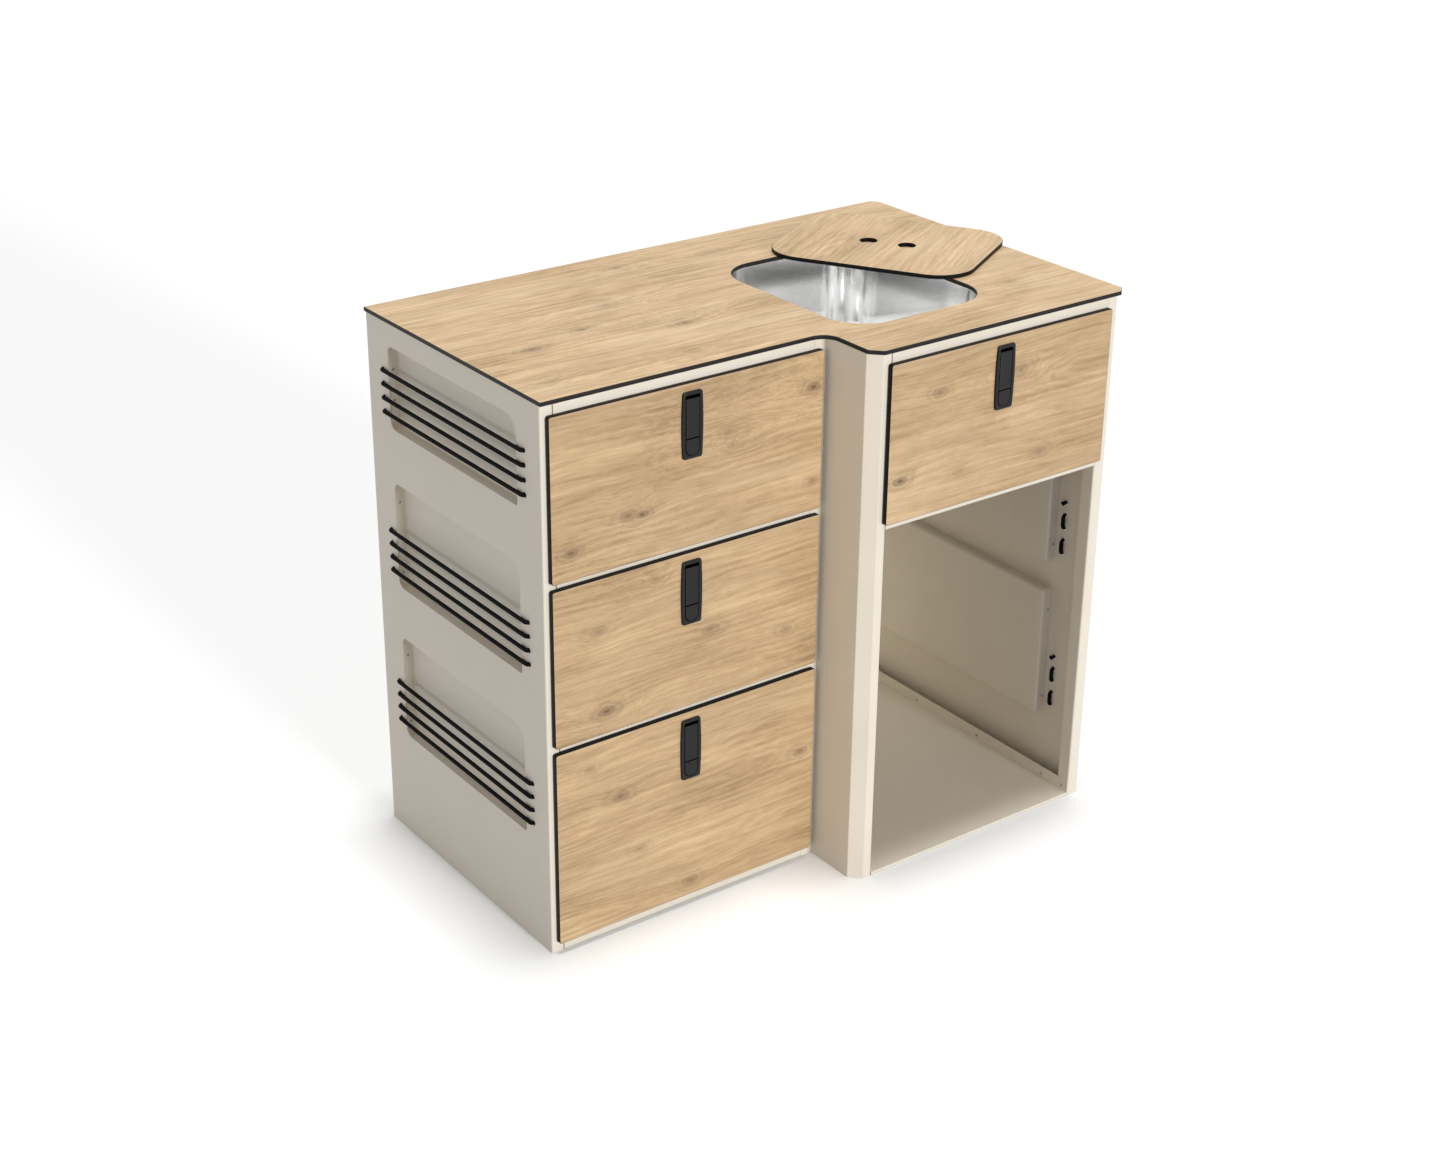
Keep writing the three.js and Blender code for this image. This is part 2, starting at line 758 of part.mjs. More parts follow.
// The pull lever: a paddle whose lower end is round about its pins.
function latchLever(drawer) {
  const radius = leverThickness / 2;
  const outline = new THREE.Shape();
  outline.moveTo(leverY[1], pivotZ);
  outline.lineTo(leverY[1], leverZ[1]);
  outline.lineTo(leverY[0], leverZ[1]);
  outline.lineTo(leverY[0], pivotZ);
  const points = outline.getPoints();
  const steps = 2 * bendSteps;
  for (let step = 1; step < steps; step += 1) {
    const angle = Math.PI * (1 + step / steps);
    points.push(
      new THREE.Vector2(pivotY + radius * Math.cos(angle), pivotZ + radius * Math.sin(angle)),
    );
  }
  const paddle = prism(new THREE.Shape(points), "x", [-leverWidth / 2, leverWidth / 2]);
  const pins = prism(roundOutline(pivotY, pivotZ, pinRadius, cordSides), "x", [
    -leverWidth / 2 - pinLength,
    leverWidth / 2 + pinLength,
  ]);
  return piece(`latch_lever_${drawer.name}`, paddle.add(pins), "black");
}

function latchButton(drawer) {
  const x = [-leverWidth / 2, leverWidth / 2];
  const radii = [buttonCorner, buttonCorner, latchRecess, latchRecess];
  const face = new THREE.Shape(roundedPoints(x, buttonZ, radii));
  const y = [latchRecess - bezelProud, latchRecess - bezelProud + buttonThickness];
  const stemZ = (buttonZ[0] + buttonZ[1]) / 2;
  const stem = block(
    [-buttonStem / 2, buttonStem / 2],
    [y[1] - latchClearance, y[1] + buttonStemLength],
    [stemZ - buttonStem / 2, stemZ + buttonStem / 2],
  );
  return piece(`latch_button_${drawer.name}`, prism(face, "y", y).add(stem), "black");
}

function drawerFront(drawer) {
  const width = drawer.front.right - drawer.front.left;
  const y = [-frontProud, frontThickness - frontProud];
  const board = prism(roundedOutline([0, width], [0, drawer.height], frontCorner), "y", y);
  const middle = { x: width / 2, z: drawer.height - latchDrop };
  const hole = block(
    housingX.map((x) => middle.x + x + Math.sign(x) * latchClearance),
    [-frontProud - overrun, overrun],
    housingZ.map((z) => middle.z + z + Math.sign(z) * latchClearance),
  );
  return piece(`drawer_front_${drawer.name}`, board.subtract(hole), "oak");
}

// The steel tray behind a front, with its front wall cut away round the latch.
function drawerBox(drawer) {
  const pack = runnerWidth + 2 * seat;
  const x = [drawer.module.left + pack, drawer.module.right - pack].map(
    (side) => side - drawer.front.left,
  );
  const y = [frontThickness - frontProud + seat, leftDepth - drawer.module.front - runnerSetback];
  const z = [trayLift, trayLift + drawer.trayHeight];
  const outside = block(x, y, z);
  const inside = block(
    [x[0] + traySheet, x[1] - traySheet],
    [y[0] + traySheet, y[1] - traySheet],
    [z[0] + traySheet, z[1] + overrun],
  );
  const middle = (drawer.front.right - drawer.front.left) / 2;
  const notch = block(
    housingX.map((side) => middle + side + Math.sign(side) * latchClearance),
    [y[0] - overrun, y[0] + traySheet + overrun],
    [drawer.height - latchDrop + housingZ[0] - latchClearance, z[1] + overrun],
  );
  const body = outside.subtract(inside).subtract(notch);
  return piece(`drawer_box_${drawer.name}`, body, "zinc");
}

// One member of a runner in its own frame: X away from the post, Z from its middle.
function runnerMember(name, corners, length) {
  const outline = bentStrip(corners, runnerSheet, bendRadius);
  return piece(name, prism(outline, "y", length), "zinc");
}

function runners(drawer) {
  const length = [runnerSetback, leftDepth - drawer.module.front - runnerSetback];
  const half = runnerHeight / 2;
  const cabinetCorners = [
    [runnerMemberDepth, -half],
    [0, -half],
    [0, half],
    [runnerMemberDepth, half],
  ];
  const innerHalf = half - runnerSheet - runnerGap;
  const innerStart = bendRadius + runnerGap;
  const drawerCorners = [
    [innerStart, innerHalf],
    [runnerWidth, innerHalf],
    [runnerWidth, -innerHalf],
    [innerStart, -innerHalf],
  ];
  const height = trayLift + runnerLift + half;
  const sides = [
    { side: "left", x: drawer.module.left + seat, turn: 0 },
    { side: "right", x: drawer.module.right - seat, turn: Math.PI },
  ];
  return sides.flatMap(({ side, x, turn }) => {
    const members = [
      runnerMember(`cabinet_runner_${drawer.name}_${side}`, cabinetCorners, length),
      runnerMember(`drawer_runner_${drawer.name}_${side}`, drawerCorners, length),
    ];
    members.forEach((member) => {
      member.position.set(x - drawer.front.left, 0, height);
      member.rotation.y = turn;
    });
    return members;
  });
}

// A drawer in its own frame, whose zero is the front's lower left corner on the carcass front.
function drawerGroup(drawer) {
  const group = new THREE.Group();
  group.position.set(drawer.front.left, drawer.module.front, drawer.bottom);
  const latch = new THREE.Group();
  const middle = (drawer.front.right - drawer.front.left) / 2;
  latch.position.set(middle, -frontProud, drawer.height - latchDrop);
  latch.add(latchHousing(drawer), latchLever(drawer), latchButton(drawer));
  group.add(drawerFront(drawer), drawerBox(drawer), latch, ...runners(drawer));
  return group;
}

// Worktop and sink
function worktop() {
  const front = -worktopOverhang;
  const right = totalWidth + worktopRightOverhang;
  const rear = leftDepth + worktopRearOverhang;
  const step = leftWidth - worktopStepInset;
  const far = rightModule.front - worktopOverhang;
  const outline = new THREE.Shape();
  outline.moveTo(-worktopLeftOverhang, front);
  outline.lineTo(step - worktopFillet, front);
  const steps = Math.round((worktopFillet * Math.PI) / 2 / facet);
  for (let i = 1; i <= steps; i += 1) {
    const angle = (Math.PI / 2) * (1 - i / steps);
    const x = step - worktopFillet + worktopFillet * Math.cos(angle);
    outline.lineTo(x, front - worktopFillet + worktopFillet * Math.sin(angle));
  }
  outline.lineTo(step, far + worktopChamfer);
  outline.lineTo(step + worktopChamfer, far);
  outline.lineTo(right - frontRightClip, far);
  outline.lineTo(right, far + frontRightClip);
  outline.lineTo(right, rear - rearRightClip);
  outline.lineTo(right - rearRightClip, rear);
  outline.lineTo(-worktopLeftOverhang, rear);
  outline.closePath();
  const board = prism(outline, "z", [worktopBottom, worktopTop]);
  const x = [sinkX - sinkWidth / 2, sinkX + sinkWidth / 2];
  const y = [sinkY - sinkLength / 2, sinkY + sinkLength / 2];
  const span = [worktopBottom - overrun, worktopTop + overrun];
  const hole = prism(roundedOutline(x, y, sinkCorner), "z", span);
  return piece("worktop", board.subtract(hole), "oak");
}

// The sink's cut-out as a level ring, drawn in by an inset.
function sinkRing(inset, z) {
  const x = sinkWidth / 2 - inset;
  const y = sinkLength / 2 - inset;
  const steps = Math.round((sinkCorner * Math.PI) / 2 / facet);
  const radius = sinkCorner - inset;
  const centres = [
    [-1, -1],
    [1, -1],
    [1, 1],
    [-1, 1],
  ];
  return centres.flatMap(([signX, signY], i) =>
    Array.from({ length: steps + 1 }, (_, step) => {
      const angle = Math.PI + (i + step / steps) * (Math.PI / 2);
      return new THREE.Vector3(
        signX * (x - radius) + radius * Math.cos(angle),
        signY * (y - radius) + radius * Math.sin(angle),
        z,
      );
    }),
  );
}

// The bowl's body, grown outwards by a margin, up to a level.
function bowlBody(margin, top) {
  const rings = [];
  const radius = bowlFillet + margin;
  for (let step = 0; step <= bowlSteps; step += 1) {
    const angle = ((Math.PI / 2) * step) / bowlSteps;
    const inset = bowlDraft + bowlFillet - radius * Math.sin(angle);
    rings.push(sinkRing(inset, bowlFillet - bowlDepth - radius * Math.cos(angle)));
  }
  rings.push(sinkRing(-margin, -bowlSheet));
  rings.push(sinkRing(-margin, top));
  return solid(loft(rings));
}

function sinkBowl() {
  const x = sinkWidth / 2 + bowlFlange;
  const y = sinkLength / 2 + bowlFlange;
  const flangeOutline = roundedOutline([-x, x], [-y, y], sinkCorner + bowlFlange);
  const flange = prism(flangeOutline, "z", [-bowlSheet, 0]);
  const hole = roundOutline(0, 0, wasteBodyRadius + seat, wasteSides);
  const drain = prism(hole, "z", [-bowlDepth - overrun, overrun - bowlDepth]);
  const body = bowlBody(bowlSheet, 0).add(flange).subtract(bowlBody(0, overrun)).subtract(drain);
  return piece("sink_bowl", body, "steel");
}

// The waste fitting, clamped to the bowl's floor between its flange and its nut.
function sinkWaste() {
  const top = wasteFlangeThickness + seat;
  const nutTop = -bowlSheet - seat;
  const nutBottom = nutTop - wasteNutHeight;
  const cupBottom = nutBottom - wasteCupHeight;
  const tailBottom = cupBottom - wasteTailLength;
  const profile = [
    [wasteBoreRadius, top],
    [wasteBoreRadius, cupBottom + wasteFloor],
    [wasteTailBoreRadius, cupBottom + wasteFloor],
    [wasteTailBoreRadius, tailBottom],
    [wasteTailRadius, tailBottom],
    [wasteTailRadius, cupBottom],
    [wasteBodyRadius, cupBottom],
    [wasteBodyRadius, nutBottom],
    [wasteNutRadius, nutBottom],
    [wasteNutRadius, nutTop],
    [wasteBodyRadius, nutTop],
    [wasteBodyRadius, seat],
    [wasteFlangeRadius, seat],
    [wasteFlangeRadius, top],
    [wasteBoreRadius, top],
  ];
  const points = profile.map(([radius, z]) => new THREE.Vector2(radius, z));
  const fitting = new THREE.LatheGeometry(points, wasteSides);
  fitting.rotateX(Math.PI / 2);
  fitting.rotateZ(Math.PI / wasteSides);
  const reach = (wasteBoreRadius + wasteBodyRadius) / 2;
  const z = [-wasteBar, 0];
  const bars = block([-reach, reach], [-wasteBar / 2, wasteBar / 2], z);
  const crossBars = block([-wasteBar / 2, wasteBar / 2], [-reach, reach], z);
  return piece("sink_waste", solid(fitting).add(bars).add(crossBars), "steel");
}

function sinkLid() {
  const x = [-lidWidth / 2, lidWidth / 2];
  const y = [-lidLength / 2, lidLength / 2];
  const board = prism(roundedOutline(x, y, lidCorner), "z", [0, worktopThickness]);
  const cut = [-1, 1].reduce((body, side) => {
    const middle = (side * fingerHolePitch) / 2;
    const hole = roundOutline(0, middle, fingerHoleRadius, fingerHoleSides);
    return body.subtract(prism(hole, "z", [-overrun, worktopThickness + overrun]));
  }, board);
  return piece("sink_lid", cut, "oak");
}

function sinkGroup() {
  const group = new THREE.Group();
  group.position.set(sinkX, sinkY, carcassHeight);
  const waste = sinkWaste();
  waste.position.z = -bowlDepth;
  const lid = sinkLid();
  lid.position.set(lidShiftX, lidShiftY, worktopTop + seat - carcassHeight);
  lid.rotation.z = lidTurn;
  group.add(sinkBowl(), waste, lid);
  return group;
}

function carcassGroup() {
  const group = new THREE.Group();
  const middle = (front) => (front.left + front.right) / 2;
  const leftStrike = middle(leftFront);
  const lowerRail = middleFrontBottom - frontGap - railOverlap;
  const upperRail = topFrontBottom - frontGap - railOverlap;
  group.add(leftSidePanel(), dividerPanel(), rightSidePanel(), floorPan(), rearPanel());
  group.add(rail("top_rail_left", leftModule, topRailBottom, topRailHeight, leftStrike));
  group.add(
    rail("top_rail_right", rightModule, topRailBottom, topRailHeight, middle(rightFront)),
  );
  group.add(rail("drawer_rail_upper", leftModule, upperRail, railHeight, leftStrike));
  group.add(rail("drawer_rail_lower", leftModule, lowerRail, railHeight, leftStrike));
  group.add(rail("bay_rail", rightModule, upperRail, railHeight));
  group.add(...pockets.map(pocketBox), ...pockets.map(pocketCord));
  return group;
}

// The whole pod, with its origin on the ground under the middle of its outer box.
const lidReach =
  (lidWidth / 2 - lidCorner) * Math.cos(lidTurn) +
  (lidLength / 2 - lidCorner) * Math.sin(lidTurn) +
  lidCorner;
const outerLeft = -(2 * cordRadius + cordStandoff);
const outerRight = lidX + lidReach;
const outerFront = rightModule.front - frontProud - bezelProud;
const outerRear = leftDepth + worktopRearOverhang;

const pod = new THREE.Group();
const assembly = new THREE.Group();
assembly.position.set(-(outerLeft + outerRight) / 2, -(outerFront + outerRear) / 2, 0);
assembly.add(carcassGroup(), ...drawers.map(drawerGroup), worktop(), sinkGroup());
pod.add(assembly);

export default pod;
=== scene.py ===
"""Looks of the campervan kitchen pod: folded steel, oak-faced boards, sink, latches and laced cords.

Every piece is shaped in millimetres from the carcass's front left corner on the ground, with +X to
the right, +Y to the back and +Z up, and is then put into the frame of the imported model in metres.
"""

import logging
import math
from dataclasses import dataclass
from enum import Enum
from typing import Iterable, Sequence

import bmesh
import bpy
from mathutils import Matrix, Vector

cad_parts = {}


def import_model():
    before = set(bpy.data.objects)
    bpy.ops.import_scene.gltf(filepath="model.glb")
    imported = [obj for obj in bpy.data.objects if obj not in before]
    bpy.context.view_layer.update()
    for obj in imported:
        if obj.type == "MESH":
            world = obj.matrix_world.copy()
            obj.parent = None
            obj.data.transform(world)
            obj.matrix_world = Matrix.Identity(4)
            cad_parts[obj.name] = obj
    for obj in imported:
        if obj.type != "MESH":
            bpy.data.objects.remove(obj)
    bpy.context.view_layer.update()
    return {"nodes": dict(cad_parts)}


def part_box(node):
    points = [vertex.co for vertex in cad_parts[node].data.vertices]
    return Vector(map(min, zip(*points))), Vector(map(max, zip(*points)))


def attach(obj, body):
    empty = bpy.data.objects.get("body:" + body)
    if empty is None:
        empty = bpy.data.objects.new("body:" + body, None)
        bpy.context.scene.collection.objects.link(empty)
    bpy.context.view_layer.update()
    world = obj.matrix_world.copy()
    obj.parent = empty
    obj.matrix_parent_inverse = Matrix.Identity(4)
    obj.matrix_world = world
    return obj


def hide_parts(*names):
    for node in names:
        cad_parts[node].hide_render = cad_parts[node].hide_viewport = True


log = logging.getLogger("pod")

Point = tuple[float, float]
Span = tuple[float, float]
Outline = Sequence[Point]
Colour = tuple[float, float, float, float]
# The factors of a painted shade that an oak board's colour is multiplied by.
PaintedShade = tuple[float, float, float]
Piece = bpy.types.Object
Material = bpy.types.Material
Node = bpy.types.Node
Socket = bpy.types.NodeSocket
MM = 0.001
# Edges that turn by more than SHARP are rounded, those that turn by less than SMOOTH look smooth.
SHARP = math.radians(50)
SMOOTH = math.radians(27)
# Corners nearer than DOUBLES are merged, and LEAST_RADIUS stands for a sharp corner.
DOUBLES = 0.01
LEAST_RADIUS = 0.01
# What a face's normal has along an axis that the face is square to, or nearly so.
SQUARE = 0.999
NEARLY_SQUARE = 0.99
RIVET_RADIUS = 2.4


class Axis(Enum):
    """The axis that an outline is drawn square to."""

    X = 0
    Y = 1
    Z = 2

    def place(self, u: float, v: float, depth: float) -> Vector:
        """Places a point of an outline that is square to this axis.

        Args:
            u: The point's first coordinate.
            v: Its second one.
            depth: The outline's place on this axis.

        Returns:
            The point in space.
        """
        if self is Axis.X:
            return Vector((depth, u, v))
        if self is Axis.Y:
            return Vector((u, depth, v))
        return Vector((u, v, depth))

    def along(self, length: float) -> Vector:
        """Returns a vector of that length along this axis."""
        return Vector([length if i == self.value else 0.0 for i in range(3)])


class Slot(Enum):
    """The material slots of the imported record."""

    CREAM = "cream_paint"
    OAK = "oak_board"
    BLACK = "black_plastic"
    ELASTIC = "elastic_cord"
    STAINLESS = "stainless"
    ZINC = "zinc_steel"


def srgb(red: int, green: int, blue: int) -> Colour:
    """Turns a colour as written on a screen into the linear one that shaders take.

    Args:
        red: Red from 0 to 255.
        green: Green from 0 to 255.
        blue: Blue from 0 to 255.

    Returns:
        The linear colour with an alpha of one.
    """
    low_end, slope, offset, gamma = 0.04045, 12.92, 0.055, 2.4
    parts = []
    for value in (red / 255, green / 255, blue / 255):
        bright = ((value + offset) / (1 + offset)) ** gamma
        parts.append(value / slope if value <= low_end else bright)
    return (*parts, 1.0)


def arc(centre: Point, radius: float, start: float, end: float, steps: int) -> list[Point]:
    """Points on an arc, both ends included.

    Args:
        centre: Centre of the arc.
        radius: Its radius.
        start: Angle of its first point, in degrees.
        end: Angle of its last point, in degrees.
        steps: Number of straight stretches.

    Returns:
        The points from start to end.
    """
    points = []
    for step in range(steps + 1):
        angle = math.radians(start + (end - start) * step / steps)
        points.append((centre[0] + radius * math.cos(angle), centre[1] + radius * math.sin(angle)))
    return points


def circle(centre: Point, radius: float, sides: int) -> list[Point]:
    """Returns the corners of a regular outline round a point."""
    return arc(centre, radius, 0, 360, sides)[:-1]


def rounded(u: Span, v: Span, radii: Sequence[float], steps: int = 8) -> list[Point]:
    """A rectangle with its own radius at each corner.

    Args:
        u: The two ends along the first axis.
        v: The two ends along the second axis.
        radii: Radii of the corners, anticlockwise from the lower left one.
        steps: Straight stretches in each corner.

    Returns:
        The outline's points, anticlockwise.
    """
    corners = [(u[0], v[0], 1, 1), (u[1], v[0], -1, 1), (u[1], v[1], -1, -1), (u[0], v[1], 1, -1)]
    points = []
    for i, (x, y, in_x, in_y) in enumerate(corners):
        radius = max(radii[i], LEAST_RADIUS)
        centre = (x + in_x * radius, y + in_y * radius)
        points += arc(centre, radius, 180 + 90 * i, 270 + 90 * i, steps)
    return points


def filleted(corners: Sequence[Point], radius: float, steps: int) -> list[Point]:
    """Rounds the corners of a way but its two ends.

    Args:
        corners: The way's corners.
        radius: Radius of each rounded corner.
        steps: Straight stretches in each of them.

    Returns:
        The points of the rounded way.
    """
    points = [corners[0]]
    for before, corner, after in zip(corners, corners[1:], corners[2:]):
        here = Vector(corner)
        back = (Vector(before) - here).normalized()
        on = (Vector(after) - here).normalized()
        half = back.angle(on) / 2
        centre = here + (back + on).normalized() * (radius / math.sin(half))
        first = here + back * (radius / math.tan(half)) - centre
        turn = math.pi - 2 * half
        if back.x * on.y - back.y * on.x > 0:
            turn = -turn
        for step in range(steps + 1):
            spoke = first.copy()
            spoke.rotate(Matrix.Rotation(turn * step / steps, 2))
            points.append(tuple(centre + spoke))
    points.append(corners[-1])
    return points


@dataclass
class Frame:
    """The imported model, and where the carcass's own zero lies in it.

    Attributes:
        nodes: CAD objects by name.
        zero: The carcass's front left corner on the ground, in metres.
    """

    nodes: dict[str, Piece]
    zero: Vector

    def matrix(self) -> Matrix:
        """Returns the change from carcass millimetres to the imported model's metres."""
        return Matrix.Translation(self.zero) @ Matrix.Scale(MM, 4)

    def point(self, place: Sequence[float]) -> Vector:
        """Returns a carcass place in metres."""
        return self.matrix() @ Vector(place)


class Form:
    """A mesh that is being shaped with bmesh operators, in carcass millimetres."""

    def __init__(self) -> None:
        """Starts with an empty mesh."""
        self.bm = bmesh.new()

    def loop(self, points: Iterable[Vector], closed: bool = True) -> list[bmesh.types.BMEdge]:
        """Draws a way of edges through points.

        Args:
            points: Places of its corners.
            closed: Whether its end is joined to its start.

        Returns:
            The edges.
        """
        verts = [self.bm.verts.new(point) for point in points]
        ends = verts[1:] + verts[:1] if closed else verts[1:]
        return [self.bm.edges.new(pair) for pair in zip(verts, ends)]

    def flat(self, outlines: Sequence[Outline], axis: Axis, depth: float) -> list[bmesh.types.BMFace]:
        """Fills a flat outline, with the other outlines as holes in it.

        Args:
            outlines: The outer outline and then its holes.
            axis: The axis that they are square to.
            depth: Their place on that axis.

        Returns:
            The new faces.
        """
        edges = []
        for outline in outlines:
            edges += self.loop([axis.place(u, v, depth) for u, v in outline])
        filled = bmesh.ops.triangle_fill(self.bm, use_beauty=True, edges=edges, normal=axis.along(1))
        return [item for item in filled["geom"] if isinstance(item, bmesh.types.BMFace)]

    def slab(self, outlines: Sequence[Outline], axis: Axis, span: Span) -> None:
        """Gives a flat outline a thickness.

        Args:
            outlines: The outer outline and then its holes.
            axis: The axis along its thickness.
            span: The two ends on that axis.
        """
        faces = self.flat(outlines, axis, span[0])
        grown = bmesh.ops.extrude_face_region(self.bm, geom=faces, use_keep_orig=True)["geom"]
        moved = [item for item in grown if isinstance(item, bmesh.types.BMVert)]
        bmesh.ops.translate(self.bm, verts=moved, vec=axis.along(span[1] - span[0]))

    def strip(self, way: Sequence[Point], height: Span) -> None:
        """Raises an upright strip of sheet over a way on the ground.

        Args:
            way: Points on the ground.
            height: The strip's lower and upper ends.
        """
        edges = self.loop([Vector((x, y, height[0])) for x, y in way], closed=False)
        grown = bmesh.ops.extrude_edge_only(self.bm, edges=edges)["geom"]
        moved = [item for item in grown if isinstance(item, bmesh.types.BMVert)]
        bmesh.ops.translate(self.bm, verts=moved, vec=Vector((0, 0, height[1] - height[0])))

    def rings(self, rings: Sequence[Sequence[Vector]], cap: bool = True) -> None:
        """Bridges rings of equal counts into a skin.

        Args:
            rings: The rings, in order.
            cap: Whether the last one is closed with a face.
        """
        loops = [self.loop(ring) for ring in rings]
        for one, two in zip(loops, loops[1:]):
            bmesh.ops.bridge_loops(self.bm, edges=one + two)
        if cap:
            bmesh.ops.contextual_create(self.bm, geom=loops[-1])

    def block(self, x: Span, y: Span, z: Span, bevel: float = 0.0) -> None:
        """Adds a block with rounded edges.

        Args:
            x: Its two ends on X.
            y: Its two ends on Y.
            z: Its two ends on Z.
            bevel: Width of the rounding, or zero for none.
        """
        middle = Vector(((x[0] + x[1]) / 2, (y[0] + y[1]) / 2, (z[0] + z[1]) / 2))
        size = Matrix.Diagonal((x[1] - x[0], y[1] - y[0], z[1] - z[0], 1))
        place = Matrix.Translation(middle) @ size
        verts = bmesh.ops.create_cube(self.bm, size=1, matrix=place)["verts"]
        if bevel:
            self.round({edge for vert in verts for edge in vert.link_edges}, bevel)

    def round(self, edges: Iterable[bmesh.types.BMEdge], width: float) -> None:
        """Rounds edges with two flats.

        Args:
            edges: The edges.
            width: Width of the rounding.
        """
        bmesh.ops.bevel(
            self.bm,
            geom=list(edges),
            offset=width,
            offset_type="OFFSET",
            affect="EDGES",
            segments=2,
            profile=0.5,
            material=-1,
        )

    def round_sharp(self, width: float) -> None:
        """Rounds every sharp edge.

        Args:
            width: Width of the rounding.
        """
        self.bm.normal_update()
        sharp = [
            edge
            for edge in self.bm.edges
            if len(edge.link_faces) == 2 and edge.calc_face_angle(0) > SHARP
        ]
        self.round(sharp, width)

    def turned(
        self, profile: Outline, foot: Vector, axis: Axis, sides: int, sign: int = 1
    ) -> None:
        """Turns a profile of (radius, height) about an axis through a foot point.

        Args:
            profile: The profile, from one end to the other.
            foot: The point on the axis at height zero.
            axis: The axis that the profile turns about.
            sides: Steps in the whole turn.
            sign: The way along the axis that heights go.
        """
        side = (Axis.Y if axis is Axis.X else Axis.X).along(1)
        points = [foot + side * radius + axis.along(sign * height) for radius, height in profile]
        edges = self.loop(points, closed=False)
        verts = list({vert for edge in edges for vert in edge.verts})
        bmesh.ops.spin(
            self.bm,
            geom=verts + edges,
            cent=foot,
            axis=axis.along(1),
            angle=2 * math.pi,
            steps=sides,
            use_merge=True,
        )

    def close_up(self) -> None:
        """Merges doubles and turns all faces outwards."""
        bmesh.ops.remove_doubles(self.bm, verts=self.bm.verts, dist=DOUBLES)
        bmesh.ops.recalc_face_normals(self.bm, faces=self.bm.faces)

    def face_towards(self, way: Sequence[float]) -> None:
        """Turns an open skin so that the face that lies widest across a way looks that way.

        Args:
            way: The way, of length one.
        """
        self.close_up()
        self.bm.normal_update()
        aim = Vector(way)
        widest = max(self.bm.faces, key=lambda face: abs(face.normal.dot(aim)) * face.calc_area())
        if widest.normal.dot(aim) < 0:
            bmesh.ops.reverse_faces(self.bm, faces=self.bm.faces)


class Wiring:
    """Short calls for the nodes of one shader tree."""

    def __init__(self, tree: bpy.types.NodeTree) -> None:
        """Starts on a tree whose nodes are cleared."""
        self.tree = tree
        tree.nodes.clear()

    def node(self, kind: str, **settings: object) -> Node:
        """Adds a node.

        Args:
            kind: The node's type.
            settings: Its properties.

        Returns:
            The node.
        """
        node = self.tree.nodes.new(kind)
        for key, value in settings.items():
            setattr(node, key, value)
        return node

    def feed(self, socket: Socket, value: object) -> None:
        """Gives a socket its value.

        Args:
            socket: The socket.
            value: An output to link it to, or a plain value.
        """
        if isinstance(value, Socket):
            self.tree.links.new(value, socket)
        else:
            socket.default_value = value

    def math(self, operation: str, *values: object) -> Socket:
        """Adds a Math node.

        Args:
            operation: What it does.
            values: Up to three values or outputs.

        Returns:
            Its result.
        """
        node = self.node("ShaderNodeMath", operation=operation)
        for socket, value in zip(node.inputs, values):
            self.feed(socket, value)
        return node.outputs[0]

    def vector(self, operation: str, *values: object) -> Socket:
        """Adds a Vector Math node.

        Args:
            operation: What it does.
            values: Up to three vectors or outputs.

        Returns:
            Its result.
        """
        node = self.node("ShaderNodeVectorMath", operation=operation)
        sockets = [socket for socket in node.inputs if socket.type == "VECTOR"]
        for socket, value in zip(sockets, values):
            self.feed(socket, value)
        return node.outputs["Value" if operation == "LENGTH" else "Vector"]

    def noise(self, vector: object, scale: float, detail: float, rough: float) -> Socket:
        """Adds a Noise Texture.

        Args:
            vector: Where it is read.
            scale: How many of its spots fit in a metre.
            detail: How many finer layers it has.
            rough: How strong they are.

        Returns:
            Its factor.
        """
        node = self.node("ShaderNodeTexNoise")
        self.feed(node.inputs["Vector"], vector)
        node.inputs["Scale"].default_value = scale
        node.inputs["Detail"].default_value = detail
        node.inputs["Roughness"].default_value = rough
        return node.outputs[0]

    def figure(
        self, vector: object, scale: Point, detail: float, rough: float, shift: Point = (0, 0)
    ) -> Socket:
        """Adds a noise with its own scale along and across the grain, read at a shifted place."""
        moved = self.vector("ADD", vector, (*shift, 0))
        return self.noise(self.vector("MULTIPLY", moved, (*scale, 1)), 1, detail, rough)

    def remap(
        self, value: object, low: float, high: float, to_low: float = 0.0, to_high: float = 1.0
    ) -> Socket:
        """Maps a stretch of values to another, smoothly between its ends.

        Args:
            value: The value.
            low: The stretch's low end.
            high: Its high end.
            to_low: What the low end and all below it become.
            to_high: What the high end and all above it become.

        Returns:
            The new value.
        """
        node = self.node("ShaderNodeMapRange", interpolation_type="SMOOTHSTEP", clamp=True)
        for socket, item in zip(node.inputs, (value, low, high, to_low, to_high)):
            self.feed(socket, item)
        return node.outputs[0]

    def blend(self, factor: object, one: object, two: object, mode: str = "MIX") -> Socket:
        """Mixes two colours.

        Args:
            factor: How much of the second one there is.
            one: The first colour.
            two: The second colour.
            mode: How they are mixed.

        Returns:
            The mixed colour.
        """
        node = self.node("ShaderNodeMix", data_type="RGBA", blend_type=mode)
        self.feed(node.inputs[0], factor)
        self.feed(node.inputs[6], one)
        self.feed(node.inputs[7], two)
        return node.outputs[2]

    def group(self, tree: bpy.types.NodeTree, **values: object) -> Node:
        """Places a node group.

        Args:
            tree: The group.
            values: Its inputs by name.

        Returns:
            The group's node.
        """
        node = self.node("ShaderNodeGroup", node_tree=tree)
        for key, value in values.items():
            self.feed(node.inputs[key], value)
        return node


